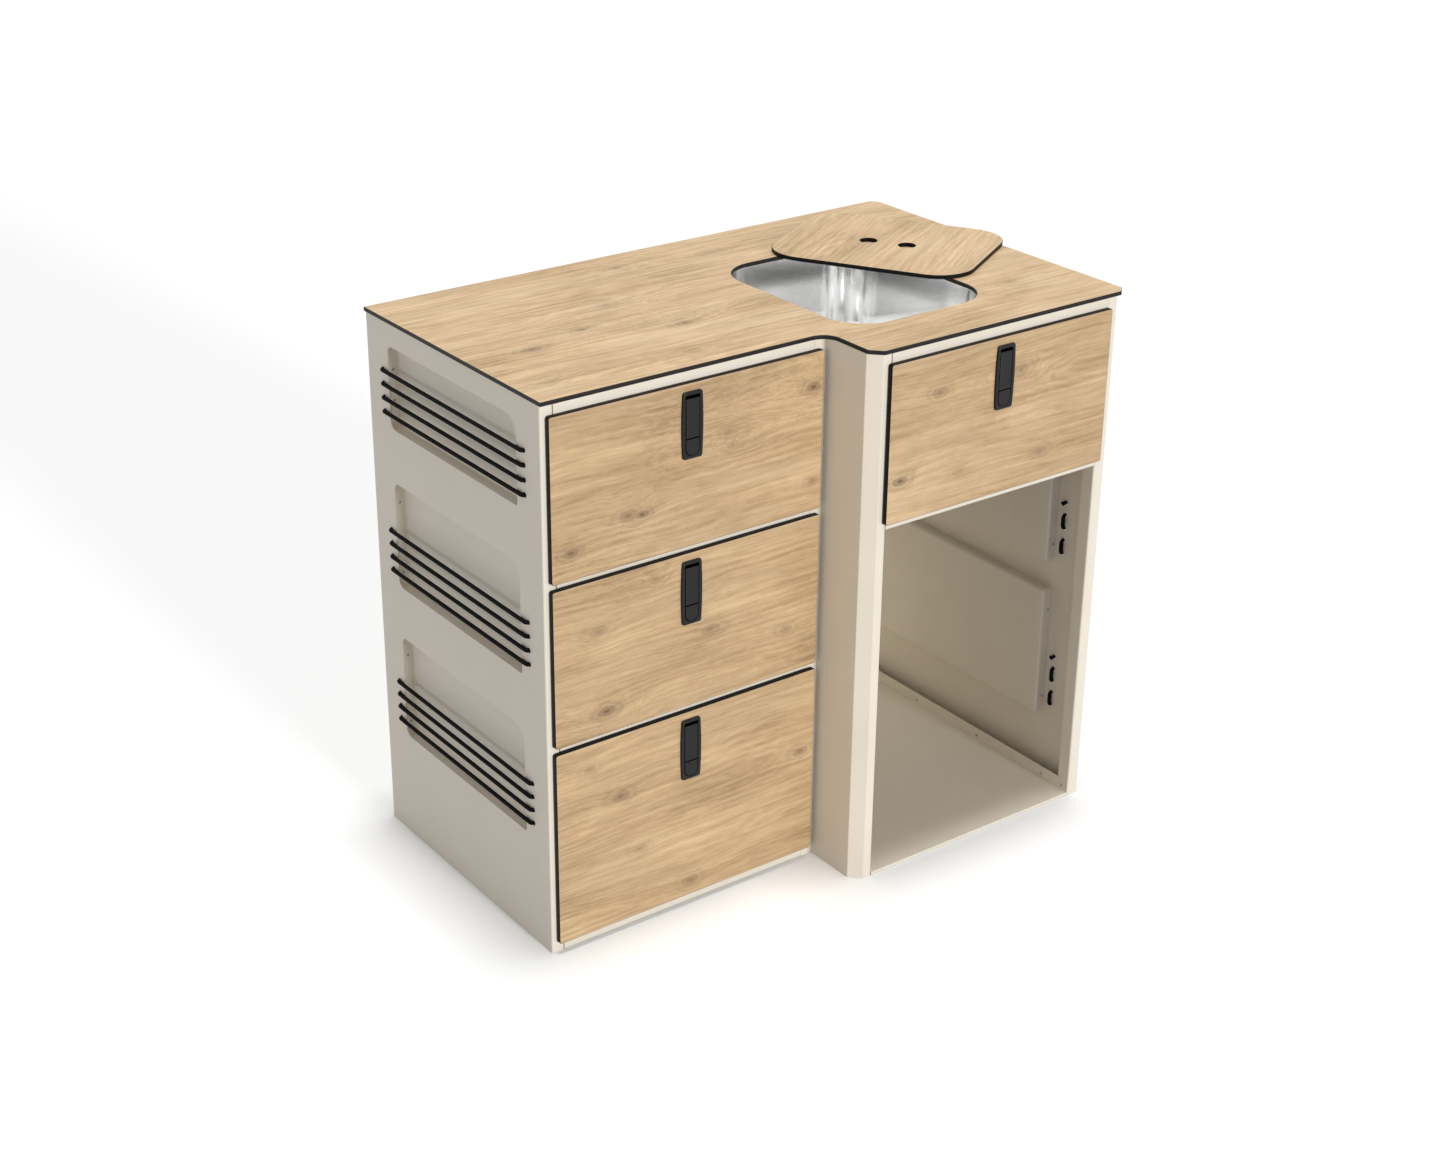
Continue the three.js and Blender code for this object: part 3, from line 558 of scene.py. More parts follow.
def new_group(
    name: str, inputs: dict[str, object], outputs: Sequence[str]
) -> tuple[Wiring, Node, Node]:
    """Starts a shader node group.

    Args:
        name: The group's name.
        inputs: Input names with their default values, a number or three of them.
        outputs: Output names; one that ends in colour is a colour.

    Returns:
        The wiring, the group's input node and its output node.
    """
    tree = bpy.data.node_groups.new(name, "ShaderNodeTree")
    for key, value in inputs.items():
        kind = "NodeSocketFloat" if isinstance(value, (int, float)) else "NodeSocketVector"
        socket = tree.interface.new_socket(name=key, in_out="INPUT", socket_type=kind)
        socket.default_value = value
    for key in outputs:
        kind = "NodeSocketColor" if key.endswith("colour") else "NodeSocketFloat"
        tree.interface.new_socket(name=key, in_out="OUTPUT", socket_type=kind)
    wiring = Wiring(tree)
    return wiring, wiring.node("NodeGroupInput"), wiring.node("NodeGroupOutput")


@dataclass(frozen=True)
class Knot:
    """A knot in the oak decor.

    Attributes:
        along: Its place along the grain, in carcass millimetres.
        across: Its place across the grain.
        size: Its half width across the grain.
        depth: How dark it is, from nought to one.
    """

    along: float
    across: float
    size: float
    depth: float


def make_knots(*rows: tuple[float, float, float, float]) -> tuple[Knot, ...]:
    """Makes a knot of each row of a place along and across, a size and a depth."""
    return tuple(Knot(*row) for row in rows)


class Effects:
    """The shader node groups that several finishes share, each built once."""

    def __init__(self) -> None:
        """Builds the groups."""
        self.speckle = self.build_speckle()
        self.knot = self.build_knot()
        self.oak = self.build_oak()

    def build_speckle(self) -> bpy.types.NodeTree:
        """Fine grain and slow variation, for paint, plastic and metal.

        Returns:
            A group with the outputs Fine, Slow and Height.
        """
        inputs = {"Vector": (0.0, 0.0, 0.0), "Stretch": (1.0, 1.0, 1.0)}
        wiring, given, result = new_group("speckle", inputs, ("Fine", "Slow", "Height"))
        place = wiring.vector("MULTIPLY", given.outputs["Vector"], given.outputs["Stretch"])
        fine_scale, middle_scale, slow_scale = 1400, 420, 7
        fine = wiring.noise(place, fine_scale, 2, 0.6)
        middle = wiring.noise(place, middle_scale, 2, 0.5)
        slow = wiring.noise(place, slow_scale, 3, 0.55)
        wiring.feed(result.inputs["Fine"], fine)
        wiring.feed(result.inputs["Slow"], slow)
        wiring.feed(result.inputs["Height"], wiring.math("ADD", fine, middle))
        return wiring.tree

    def build_knot(self) -> bpy.types.NodeTree:
        """One knot: how far it lifts the grain's rings, and how dark it is.

        Returns:
            A group with the outputs Lift and Dark.
        """
        inputs = {"Vector": (0.0, 0.0, 0.0), "Centre": (0.0, 0.0, 0.0), "Size": 0.01, "Depth": 1.0}
        wiring, given, result = new_group("knot", inputs, ("Lift", "Dark"))
        place, centre, size, depth = given.outputs[:4]
        away = wiring.vector("SUBTRACT", place, centre)
        away = wiring.vector("MULTIPLY", away, (0.55, 1.0, 0.0))
        ragged = wiring.figure(place, (40, 90), 3, 0.6)
        length = wiring.vector("LENGTH", away)
        wobble = wiring.math("MULTIPLY_ADD", ragged, 1.1, 0.45)
        share = wiring.math("DIVIDE", wiring.math("MULTIPLY", length, wobble), size)
        lift = wiring.math("POWER", 2.718, wiring.math("MULTIPLY", share, -0.42))
        heart = wiring.remap(share, 0.15, 0.9, 0.95, 0)
        ring = wiring.math("SINE", wiring.math("MULTIPLY", share, 6.5))
        ring = wiring.math("MULTIPLY_ADD", ring, -0.3, 0.7)
        halo = wiring.math("MULTIPLY", ring, wiring.remap(share, 0.2, 2.8, 0.68, 0))
        dark = wiring.math("MAXIMUM", heart, halo)
        wiring.feed(result.inputs["Lift"], wiring.math("MULTIPLY", lift, depth))
        wiring.feed(result.inputs["Dark"], wiring.math("MULTIPLY", dark, depth))
        return wiring.tree

    def build_oak(self) -> bpy.types.NodeTree:
        """Oak decor with the grain along X and across Y.

        Returns:
            A group with the outputs Oak colour, Tone and Height.
        """
        inputs = {"Vector": (0.0, 0.0, 0.0), "Lift": 0.0, "Dark": 0.0}
        wiring, given, result = new_group("oak_figure", inputs, ("Oak colour", "Tone", "Height"))
        place, lifted, knotted = given.outputs[:3]
        bend = wiring.figure(place, (3.2, 9.0), 2, 0.5)
        curl = wiring.figure(place, (11.0, 26.0), 2, 0.5)
        lift = wiring.math("MULTIPLY", lifted, 0.012)
        shift = wiring.math("ADD", wiring.math("MULTIPLY_ADD", bend, 0.03, -0.015), lift)
        shift = wiring.math("MULTIPLY_ADD", curl, 0.005, shift)
        offset = wiring.node("ShaderNodeCombineXYZ")
        wiring.feed(offset.inputs[1], shift)
        bent = wiring.vector("ADD", place, offset.outputs[0])
        rings = wiring.figure(bent, (1.5, 11.0), 1.5, 0.4)
        rings = wiring.math("MULTIPLY_ADD", lifted, 0.35, rings)
        wave = wiring.math("SINE", wiring.math("MULTIPLY", rings, 150))
        wave = wiring.math("MULTIPLY_ADD", wave, 0.5, 0.5)
        where = wiring.figure(place, (4.0, 7.0), 2, 0.5, (3.0, 5.0))
        where = wiring.math("MAXIMUM", wiring.remap(where, 0.42, 0.62), lifted)
        wave = wiring.math("MULTIPLY", wave, where)
        streak = wiring.figure(bent, (5.5, 165.0), 4, 0.62)
        line = wiring.figure(bent, (30.0, 720.0), 2, 0.6)
        patch = wiring.figure(bent, (3.0, 19.0), 3, 0.55)
        fleck = wiring.figure(bent, (26.0, 430.0), 2, 0.6, (7.0, 2.0))
        fleck = wiring.math("MULTIPLY", wiring.remap(fleck, 0.53, 0.62), wiring.remap(patch, 0.4, 0.6))
        mottle = wiring.figure(bent, (48.0, 150.0), 3, 0.62, (1.0, 9.0))
        cloud = wiring.figure(place, (7.0, 14.0), 3, 0.55)
        tone = wiring.math("MULTIPLY_ADD", streak, 0.40, 0.006)
        tone = wiring.math("MULTIPLY_ADD", line, 0.15, tone)
        tone = wiring.math("MULTIPLY_ADD", wave, 0.06, tone)
        tone = wiring.math("MULTIPLY_ADD", lifted, -0.05, tone)
        tone = wiring.math("MULTIPLY_ADD", fleck, 0.04, tone)
        tone = wiring.math("MULTIPLY_ADD", mottle, 0.11, tone)
        tone = wiring.math("MULTIPLY_ADD", patch, 0.26, tone)
        tone = wiring.math("MULTIPLY_ADD", cloud, 0.14, tone)
        ramp = wiring.node("ShaderNodeValToRGB")
        stops = [
            (0.40, srgb(226, 197, 156)),
            (0.48, srgb(212, 182, 140)),
            (0.54, srgb(200, 169, 128)),
            (0.61, srgb(184, 154, 114)),
            (0.72, srgb(154, 125, 90)),
        ]
        elements = ramp.color_ramp.elements
        while len(elements) < len(stops):
            elements.new(0.5)
        for element, (at, colour) in zip(elements, stops):
            element.position = at
            element.color = colour
        wiring.feed(ramp.inputs[0], tone)
        grey = wiring.figure(bent, (2.6, 24.0), 2, 0.5, (4.0, 1.0))
        grey = wiring.remap(grey, 0.5, 0.72, 0, 0.32)
        colour = wiring.blend(grey, ramp.outputs[0], srgb(198, 176, 142))
        colour = wiring.blend(knotted, colour, srgb(108, 84, 60))
        wiring.feed(result.inputs["Oak colour"], colour)
        wiring.feed(result.inputs["Tone"], tone)
        wiring.feed(result.inputs["Height"], wiring.math("SUBTRACT", 1, line))
        return wiring.tree


def new_material(name: str, kind: str = "Principled") -> tuple[Material, Wiring, Node]:
    """Starts a material.

    Args:
        name: The material's name.
        kind: Its shader.

    Returns:
        The material, its wiring and its shader, which is wired to the output.
    """
    material = bpy.data.materials.new(name)
    material.use_nodes = True
    wiring = Wiring(material.node_tree)
    shader = wiring.node(f"ShaderNodeBsdf{kind}")
    output = wiring.node("ShaderNodeOutputMaterial")
    wiring.feed(output.inputs["Surface"], shader.outputs[0])
    return material, wiring, shader


def bump(wiring: Wiring, shader: Node, height: object, distance: float) -> None:
    """Gives a shader a bump.

    Args:
        wiring: The material's wiring.
        shader: Its shader.
        height: The height over the surface, from nought to one.
        distance: How high that is, in metres.
    """
    node = wiring.node("ShaderNodeBump")
    node.inputs["Strength"].default_value = 1
    node.inputs["Distance"].default_value = distance
    wiring.feed(node.inputs["Height"], height)
    wiring.feed(shader.inputs["Normal"], node.outputs[0])


@dataclass(frozen=True)
class Coat:
    """A plain surface with a fine grain: paint, plastic or metal.

    Attributes:
        name: The material's name.
        light: Colour where the surface is lightest.
        deep: Colour where it is deepest.
        roughness: Roughness at the middle of its range.
        range: How far the roughness varies.
        metallic: Nought for paint and plastic, one for metal.
        relief: Height of the grain, in metres.
        stretch: How much finer the grain is on each axis.
        specular: Level of the plain reflection.
    """

    name: str
    light: Colour
    deep: Colour
    roughness: float
    range: float
    metallic: float = 0.0
    relief: float = 2e-5
    stretch: tuple[float, float, float] = (1.0, 1.0, 1.0)
    specular: float = 0.5

    def material(self, effects: Effects) -> Material:
        """Builds the material from the shared speckle group.

        Args:
            effects: The shared node groups.

        Returns:
            The material.
        """
        material, wiring, shader = new_material(self.name)
        place = wiring.node("ShaderNodeTexCoord").outputs["Object"]
        grain = wiring.group(effects.speckle, Vector=place, Stretch=self.stretch)
        slow = wiring.remap(grain.outputs["Slow"], 0.3, 0.7)
        slow = wiring.math("MULTIPLY", slow, 0.5)
        mixed = wiring.math("MULTIPLY_ADD", grain.outputs["Fine"], 0.5, slow)
        wiring.feed(shader.inputs["Base Color"], wiring.blend(mixed, self.light, self.deep))
        low, high = self.roughness - self.range, self.roughness + self.range
        rough = wiring.remap(grain.outputs["Fine"], 0.25, 0.75, low, high)
        wiring.feed(shader.inputs["Roughness"], rough)
        shader.inputs["Metallic"].default_value = self.metallic
        shader.inputs["Specular IOR Level"].default_value = self.specular
        bump(wiring, shader, grain.outputs["Height"], self.relief)
        return material


@dataclass(frozen=True)
class Oak:
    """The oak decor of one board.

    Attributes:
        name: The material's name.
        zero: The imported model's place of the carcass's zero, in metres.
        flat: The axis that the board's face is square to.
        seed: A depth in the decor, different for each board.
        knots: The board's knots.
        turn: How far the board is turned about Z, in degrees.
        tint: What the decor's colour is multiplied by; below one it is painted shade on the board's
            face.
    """

    name: str
    zero: Vector
    flat: Axis
    seed: float
    knots: tuple[Knot, ...] = ()
    turn: float = 0.0
    tint: PaintedShade = (1.0, 1.0, 1.0)

    def material(self, effects: Effects) -> Material:
        """Builds the material from the shared oak and knot groups.

        Args:
            effects: The shared node groups.

        Returns:
            The material.
        """
        material, wiring, shader = new_material(self.name)
        place = wiring.node("ShaderNodeTexCoord").outputs["Object"]
        mapping = wiring.node("ShaderNodeMapping", vector_type="POINT")
        wiring.feed(mapping.inputs["Vector"], place)
        mapping.inputs["Location"].default_value = -self.zero
        turned = wiring.node("ShaderNodeVectorRotate", rotation_type="Z_AXIS")
        wiring.feed(turned.inputs["Vector"], mapping.outputs[0])
        turned.inputs["Angle"].default_value = math.radians(-self.turn)
        parts = wiring.node("ShaderNodeSeparateXYZ")
        wiring.feed(parts.inputs[0], turned.outputs[0])
        joined = wiring.node("ShaderNodeCombineXYZ")
        wiring.feed(joined.inputs[0], parts.outputs[0])
        wiring.feed(joined.inputs[1], parts.outputs[2 if self.flat is Axis.Y else 1])
        joined.inputs[2].default_value = self.seed
        grain = joined.outputs[0]
        lift: object = 0.0
        dark: object = 0.0
        for knot in self.knots:
            centre = (knot.along * MM, knot.across * MM, 0.0)
            size = knot.size * MM
            one = wiring.group(effects.knot, Vector=grain, Centre=centre, Size=size, Depth=knot.depth)
            lift = wiring.math("ADD", one.outputs["Lift"], lift)
            dark = wiring.math("MAXIMUM", one.outputs["Dark"], dark)
        oak = wiring.group(effects.oak, Vector=grain, Lift=lift, Dark=dark)
        # Multiplies the decor by the painted shade, which darkens the drawer fronts that face the
        # front lamp.
        colour = wiring.blend(1.0, oak.outputs["Oak colour"], (*self.tint, 1.0), "MULTIPLY")
        wiring.feed(shader.inputs["Base Color"], colour)
        rough = wiring.remap(oak.outputs["Tone"], 0.4, 0.7, 0.44, 0.6)
        wiring.feed(shader.inputs["Roughness"], rough)
        bump(wiring, shader, oak.outputs["Height"], 0.00002)
        return material


@dataclass(frozen=True)
class Elastic:
    """The braided cover of an elastic cord.

    Attributes:
        name: The material's name.
        length: The cord's length, in metres.
        pitch: Length of one stitch of the braid, in metres.
        strands: Number of stitches round the cord.
    """

    name: str
    length: float
    pitch: float = 0.0022
    strands: int = 6

    def material(self) -> Material:
        """Builds the material on the cord's own map, along and around it.

        Returns:
            The material.
        """
        material, wiring, shader = new_material(self.name)
        parts = wiring.node("ShaderNodeSeparateXYZ")
        wiring.feed(parts.inputs[0], wiring.node("ShaderNodeTexCoord").outputs["UV"])
        along = wiring.math("MULTIPLY", parts.outputs[0], 2 * math.pi * self.length / self.pitch)
        around = wiring.math("MULTIPLY", parts.outputs[1], 2 * math.pi * self.strands)
        one = wiring.math("SINE", wiring.math("ADD", along, around))
        two = wiring.math("SINE", wiring.math("SUBTRACT", along, around))
        weave = wiring.math("MAXIMUM", one, two)
        weave = wiring.math("MULTIPLY_ADD", weave, 0.5, 0.5)
        wiring.feed(shader.inputs["Base Color"], wiring.blend(weave, srgb(2, 2, 2), srgb(10, 10, 11)))
        shader.inputs["Specular IOR Level"].default_value = 0.08
        wiring.feed(shader.inputs["Roughness"], wiring.remap(weave, 0, 1, 0.9, 0.65))
        bump(wiring, shader, weave, 0.0003)
        return material


COATS = (
    Coat("cream_powder_coat", srgb(235, 227, 212), srgb(229, 220, 204), 0.46, 0.06, relief=3e-5),
    Coat("black_core", srgb(5, 5, 5), srgb(11, 11, 11), 0.5, 0.08, specular=0.12),
    # The worktop's core is black_core painted lighter: painted light on its lamp-lit edges.
    Coat("worktop_core", srgb(24, 24, 23), srgb(30, 30, 29), 0.5, 0.08, specular=0.2),
    Coat("black_moulding", srgb(12, 12, 13), srgb(7, 7, 8), 0.25, 0.04, relief=4e-6, specular=0.32),
    # Painted shade: the near-black that fills the rivets' shallow pin dimples stands for a deep dark
    # hole.
    Coat("dark_hole", srgb(12, 12, 12), srgb(18, 18, 18), 0.7, 0.05),
    Coat("bright_zinc", srgb(196, 198, 200), srgb(172, 175, 178), 0.32, 0.08, metallic=1.0),
    Coat("rivet_steel", srgb(190, 188, 184), srgb(160, 158, 154), 0.3, 0.06, metallic=1.0),
    Coat(
        "brushed_stainless",
        srgb(250, 250, 249),
        srgb(244, 244, 244),
        0.15,
        0.02,
        metallic=1.0,
        relief=2e-7,
        stretch=(1, 1, 0.03),
    ),
)


class Finishes:
    """Every material of the pod but those of the cords."""

    def __init__(self, zero: Vector) -> None:
        """Builds the finishes that don't belong to one board.

        Args:
            zero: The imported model's place of the carcass's zero, in metres.
        """
        self.zero = zero
        self.effects = Effects()
        self.coats = {coat.name: coat.material(self.effects) for coat in COATS}

    def __getitem__(self, name: str) -> Material:
        """Returns the finish of a name."""
        return self.coats[name]

    def oak(self, name: str, flat: Axis, seed: float, **settings: object) -> Material:
        """Builds the oak decor of one board, whose knots, turn and painted shade are the settings."""
        return Oak(name, self.zero, flat, seed, **settings).material(self.effects)


@dataclass(frozen=True)
class Sheet:
    """How an open skin becomes sheet metal.

    Attributes:
        thickness: Thickness of the sheet, behind the skin.
        edge: Width of the rounding of its cut edges.
    """

    thickness: float
    edge: float = 0.25


@dataclass
class Workshop:
    """Turns forms into finished pieces of the pod.

    Attributes:
        frame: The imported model.
        finish: The pod's materials.
    """

    frame: Frame
    finish: Finishes

    def piece(
        self,
        name: str,
        form: Form,
        finish: Sequence[Material | str],
        body: str,
        slot: Slot,
        replaces: Sequence[str] = (),
        sheet: Sheet | None = None,
    ) -> Piece:
        """Finishes a form as a piece that rides on a body.

        Args:
            name: The piece's name.
            form: Its shape, in carcass millimetres.
            finish: Its materials or their names, in the order of the faces' material indices.
            body: The CAD body that it rides on.
            slot: The record's slot that its finish belongs to.
            replaces: The CAD nodes that it stands for.
            sheet: The sheet that an open skin is made of, if it is one.

        Returns:
            The piece.
        """
        if sheet is None:
            form.close_up()
        form.bm.transform(self.frame.matrix())
        mesh = bpy.data.meshes.new(name)
        form.bm.to_mesh(mesh)
        form.bm.free()
        piece = bpy.data.objects.new(name, mesh)
        bpy.context.scene.collection.objects.link(piece)
        for one in finish:
            mesh.materials.append(self.finish[one] if isinstance(one, str) else one)
        if sheet is not None:
            wall = piece.modifiers.new("wall", "SOLIDIFY")
            wall.thickness = sheet.thickness * MM
            wall.offset = -1
            wall.use_even_offset = True
            rounding = piece.modifiers.new("edges", "BEVEL")
            rounding.width = sheet.edge * MM
            rounding.segments = 2
            rounding.limit_method = "ANGLE"
            rounding.angle_limit = SHARP
        self.smooth(piece)
        return self.ride(piece, body, slot, replaces)

    def smooth(self, piece: Piece) -> None:
        """Applies a piece's modifiers and shades it smooth between its sharp edges.

        Args:
            piece: The piece.
        """
        self.apply(piece)
        piece.data.shade_smooth()
        piece.data.set_sharp_from_angle(angle=SMOOTH)
        weighted = piece.modifiers.new("normals", "WEIGHTED_NORMAL")
        weighted.keep_sharp = True
        weighted.weight = 50
        self.apply(piece)

    def apply(self, piece: Piece) -> None:
        """Applies a piece's modifiers to its mesh.

        Args:
            piece: The piece.
        """
        if not piece.modifiers:
            return
        bpy.context.view_layer.update()
        graph = bpy.context.evaluated_depsgraph_get()
        final = bpy.data.meshes.new_from_object(piece.evaluated_get(graph))
        old = piece.data
        piece.modifiers.clear()
        piece.data = final
        final.name = piece.name
        bpy.data.meshes.remove(old)

    def ride(
        self, piece: Piece, body: str, slot: Slot, replaces: Sequence[str] = ()
    ) -> Piece:
        """Puts a piece on its body.

        Args:
            piece: The piece.
            body: The CAD body that it rides on.
            slot: The record's slot that its finish belongs to.
            replaces: The CAD nodes that it stands for.

        Returns:
            The piece.
        """
        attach(piece, body)
        if replaces:
            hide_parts(*replaces)
        log.info("%s on %s", piece.name, body)
        return piece

    def dress(self, name: str, finish: str) -> None:
        """Gives a CAD node that is shown as it is a finish."""
        for slot in self.frame.nodes[name].material_slots:
            slot.material = self.finish[finish]


@dataclass
class Assembly:
    """A sub-assembly of the pod.

    Attributes:
        shop: The workshop that finishes its pieces.
    """

    shop: Workshop


@dataclass
class Pocket(Assembly):
    """One side pocket: its opening, the box behind it and its laced cord.

    Depths are measured from the panel's outer face into the pod.

    Attributes:
        name: Its name in the CAD nodes.
        wall: X of the panel's outer face.
        inward: One where the box lies to the right of the panel, minus one to its left.
        y: Front and back ends of the opening.
        z: Its bottom and top.
        lines: Number of cord lines across it.
        rise: From its bottom to its lowest cord line.
        reach: From its front and its back end to the cord's holes.
        rivets: Heights of the rivets in its box's end walls, as shares of its height.
        spacing: From one cord line to the next.
        panel_sheet: Thickness of the panel.
        box_sheet: The sheet that the box is folded from.
        mouth: Depth of the box's open end.
        depth: Depth of its floor.
        clearance: From the opening's edge to the box's walls.
        fold: Outside radius of the box's folds.
        fold_steps: Straight stretches in a fold.
        radii: Radii of the opening's corners, from the lower front one on.
        cord_radius: Radius of the cord.
        standoff: Room between the cord and the panel.
        cord_bend: Radius of the cord's bends.
        bend_steps: Straight stretches in a bend.
        cord_step: Length of the cord's short stretches.
        hole_radius: Radius of the holes that the cord passes.
        knot_depth: From the box's mouth to the middle of a knot.
        knot_scale: Scale of a knot, in metres.
        knot_points: Number of points on a knot's line.
        knot_strand: Radius of a knot's strand, in metres.
        knot_length: Length of a knot's strand, in metres.
    """

    name: str
    wall: float
    inward: int
    y: Span
    z: Span
    lines: int
    rise: float
    reach: Span
    rivets: Span
    spacing: float = 21.7
    panel_sheet: float = 1.5
    box_sheet: Sheet = Sheet(1.5, 0.2)
    mouth: float = 1.8
    depth: float = 18.5
    clearance: float = 0.5
    fold: float = 3.0
    fold_steps: int = 4
    radii: tuple[float, float, float, float] = (5, 13, 13, 24)
    cord_radius: float = 3.1
    standoff: float = 0.4
    cord_bend: float = 4.3
    bend_steps: int = 8
    cord_step: float = 1.5
    hole_radius: float = 3.8
    knot_depth: float = 5.5
    knot_scale: float = 0.0007
    knot_points: int = 72
    knot_strand: float = 0.0019
    knot_length: float = 0.06

    def outline(self) -> list[Point]:
        """Returns the opening's outline."""
        return rounded(self.y, self.z, self.radii)

    def ends(self) -> Span:
        """Returns the front and back ends of the cord lines."""
        return self.y[0] - self.reach[0], self.y[1] + self.reach[1]

    def heights(self) -> list[float]:
        """Returns the heights of the cord lines, from the top one down."""
        lowest = self.z[0] + self.rise
        return [lowest + self.spacing * (self.lines - 1 - i) for i in range(self.lines)]

    def holes(self) -> list[list[Point]]:
        """Returns the outlines of the cord's holes in the panel."""
        return [circle((y, z), self.hole_radius, 16) for z in self.heights() for y in self.ends()]

    def box(self) -> None:
        """Builds the shallow folded box behind the opening."""
        form = Form()
        folded = (self.clearance - self.fold, self.depth - self.fold)
        stops = [(self.clearance, self.mouth), *arc(folded, self.fold, 0, 90, self.fold_steps)]
        rings = []
        for margin, depth in stops:
            x = self.wall + self.inward * depth
            y = (self.y[0] - margin, self.y[1] + margin)
            z = (self.z[0] - margin, self.z[1] + margin)
            corner = self.fold + margin - self.clearance
            outline = rounded(y, z, [corner] * 4, self.fold_steps)
            rings.append([Vector((x, u, v)) for u, v in outline])
        form.rings(rings)
        form.face_towards((-self.inward, 0, 0))
        self.shop.piece(
            f"folded_box_{self.name}",
            form,
            ["cream_powder_coat"],
            "carcass",
            Slot.CREAM,
            [f"pocket_box_{self.name}"],
            self.box_sheet,
        )

    def corners(self) -> list[Vector]:
        """The corners of the cord's way, before its bends are rounded.

        Returns:
            The corners from the upper knot to the lower one.
        """
        outside = -(self.cord_radius + self.standoff)
        inside = self.panel_sheet + self.cord_radius + self.standoff
        knot = self.mouth + self.knot_depth
        corners = []
        front, back = self.ends()
        heights = self.heights()
        for i, z in enumerate(heights):
            start, end = (back, front) if i % 2 else (front, back)
            first = knot if i == 0 else inside
            last = knot if i == len(heights) - 1 else inside
            corners += [(first, start, z), (outside, start, z), (outside, end, z), (last, end, z)]
        return [Vector((self.wall + self.inward * depth, y, z)) for depth, y, z in corners]

    def way(self) -> list[Vector]:
        """The cord's centre line in carcass millimetres, at even steps.

        Returns:
            Its points from the upper knot to the lower one.
        """
        places = self.corners()
        points = [places[0]]
        for before, here, after in zip(places, places[1:], places[2:]):
            back_way, on_way = (before - here).normalized(), (after - here).normalized()
            radius = min(self.cord_bend, (before - here).length / 2, (after - here).length / 2)
            centre = here + (back_way + on_way) * radius
            for step in range(self.bend_steps + 1):
                angle = math.pi / 2 * step / self.bend_steps
                spoke = on_way * math.cos(angle) + back_way * math.sin(angle)
                points.append(centre - spoke * radius)
        points.append(places[-1])
        return evenly(points, self.cord_step)

    def cord(self) -> None:
        """Builds the elastic cord and the knots at its two ends."""
        way = [self.shop.frame.point(point) for point in self.way()]
        length = sum((b - a).length for a, b in zip(way, way[1:]))
        cover = Elastic(f"braid_{self.name}", length).material()
        tube = ropes(f"elastic_cord_{self.name}", [way], self.cord_radius * MM, False, cover)
        self.shop.ride(tube, "carcass", Slot.ELASTIC, [f"pocket_cord_{self.name}"])
        ends = [self.knot(way[0], way[1] - way[0]), self.knot(way[-1], way[-2] - way[-1])]
        cover = Elastic(f"knot_braid_{self.name}", self.knot_length).material()
        knots = ropes(f"cord_knots_{self.name}", ends, self.knot_strand, True, cover)
        self.shop.ride(knots, "carcass", Slot.ELASTIC)
        log.info("cord of pocket %s: %.3f m", self.name, length)

    def knot(self, middle: Vector, way: Vector) -> list[Vector]:
        """A tight overhand knot.

        Args:
            middle: Its middle, in metres.
            way: The way along the cord.

        Returns:
            The closed line that its strand follows.
        """
        turn = way.to_track_quat("Z", "Y").to_matrix()
        points = []
        for i in range(self.knot_points):
            angle = 2 * math.pi * i / self.knot_points
            across = math.sin(angle) + 2 * math.sin(2 * angle)
            up = math.cos(angle) - 2 * math.cos(2 * angle)
            lobe = Vector((across, up, -math.sin(3 * angle)))
            points.append(middle + turn @ (lobe * self.knot_scale))
        return points


def evenly(points: Sequence[Vector], step: float) -> list[Vector]:
    """Places points at even steps along a way.

    Args:
        points: The way's own points.
        step: About how far apart the new ones are.

    Returns:
        The new points, with the way's two ends.
    """
    lengths = [(b - a).length for a, b in zip(points, points[1:])]
    count = max(2, round(sum(lengths) / step))
    gap = sum(lengths) / count
    result, i, passed = [points[0].copy()], 0, 0.0
    for stop in range(1, count):
        target = stop * gap
        while passed + lengths[i] < target:
            passed += lengths[i]
            i += 1
        result.append(points[i].lerp(points[i + 1], (target - passed) / lengths[i]))
    result.append(points[-1].copy())
    return result


def ropes(
    name: str, ways: Sequence[Sequence[Vector]], radius: float, closed: bool, finish: Material
) -> Piece:
    """Round strands along lines.

    Args:
        name: The piece's name.
        ways: One line of points for each strand, in metres.
        radius: Radius of the strands, in metres.
        closed: Whether each strand comes back to its start.
        finish: Its material.

    Returns:
        A curve object.
    """
    curve = bpy.data.curves.new(name, "CURVE")
    curve.dimensions = "3D"
    curve.bevel_depth = radius
    curve.bevel_resolution = 3
    curve.use_fill_caps = not closed
    for way in ways:
        spline = curve.splines.new("POLY")
        spline.points.add(len(way) - 1)
        for point, place in zip(spline.points, way):
            point.co = (*place, 1)
        spline.use_cyclic_u = closed
        spline.use_smooth = True
    curve.materials.append(finish)
    strand = bpy.data.objects.new(name, curve)
    bpy.context.scene.collection.objects.link(strand)
    return strand


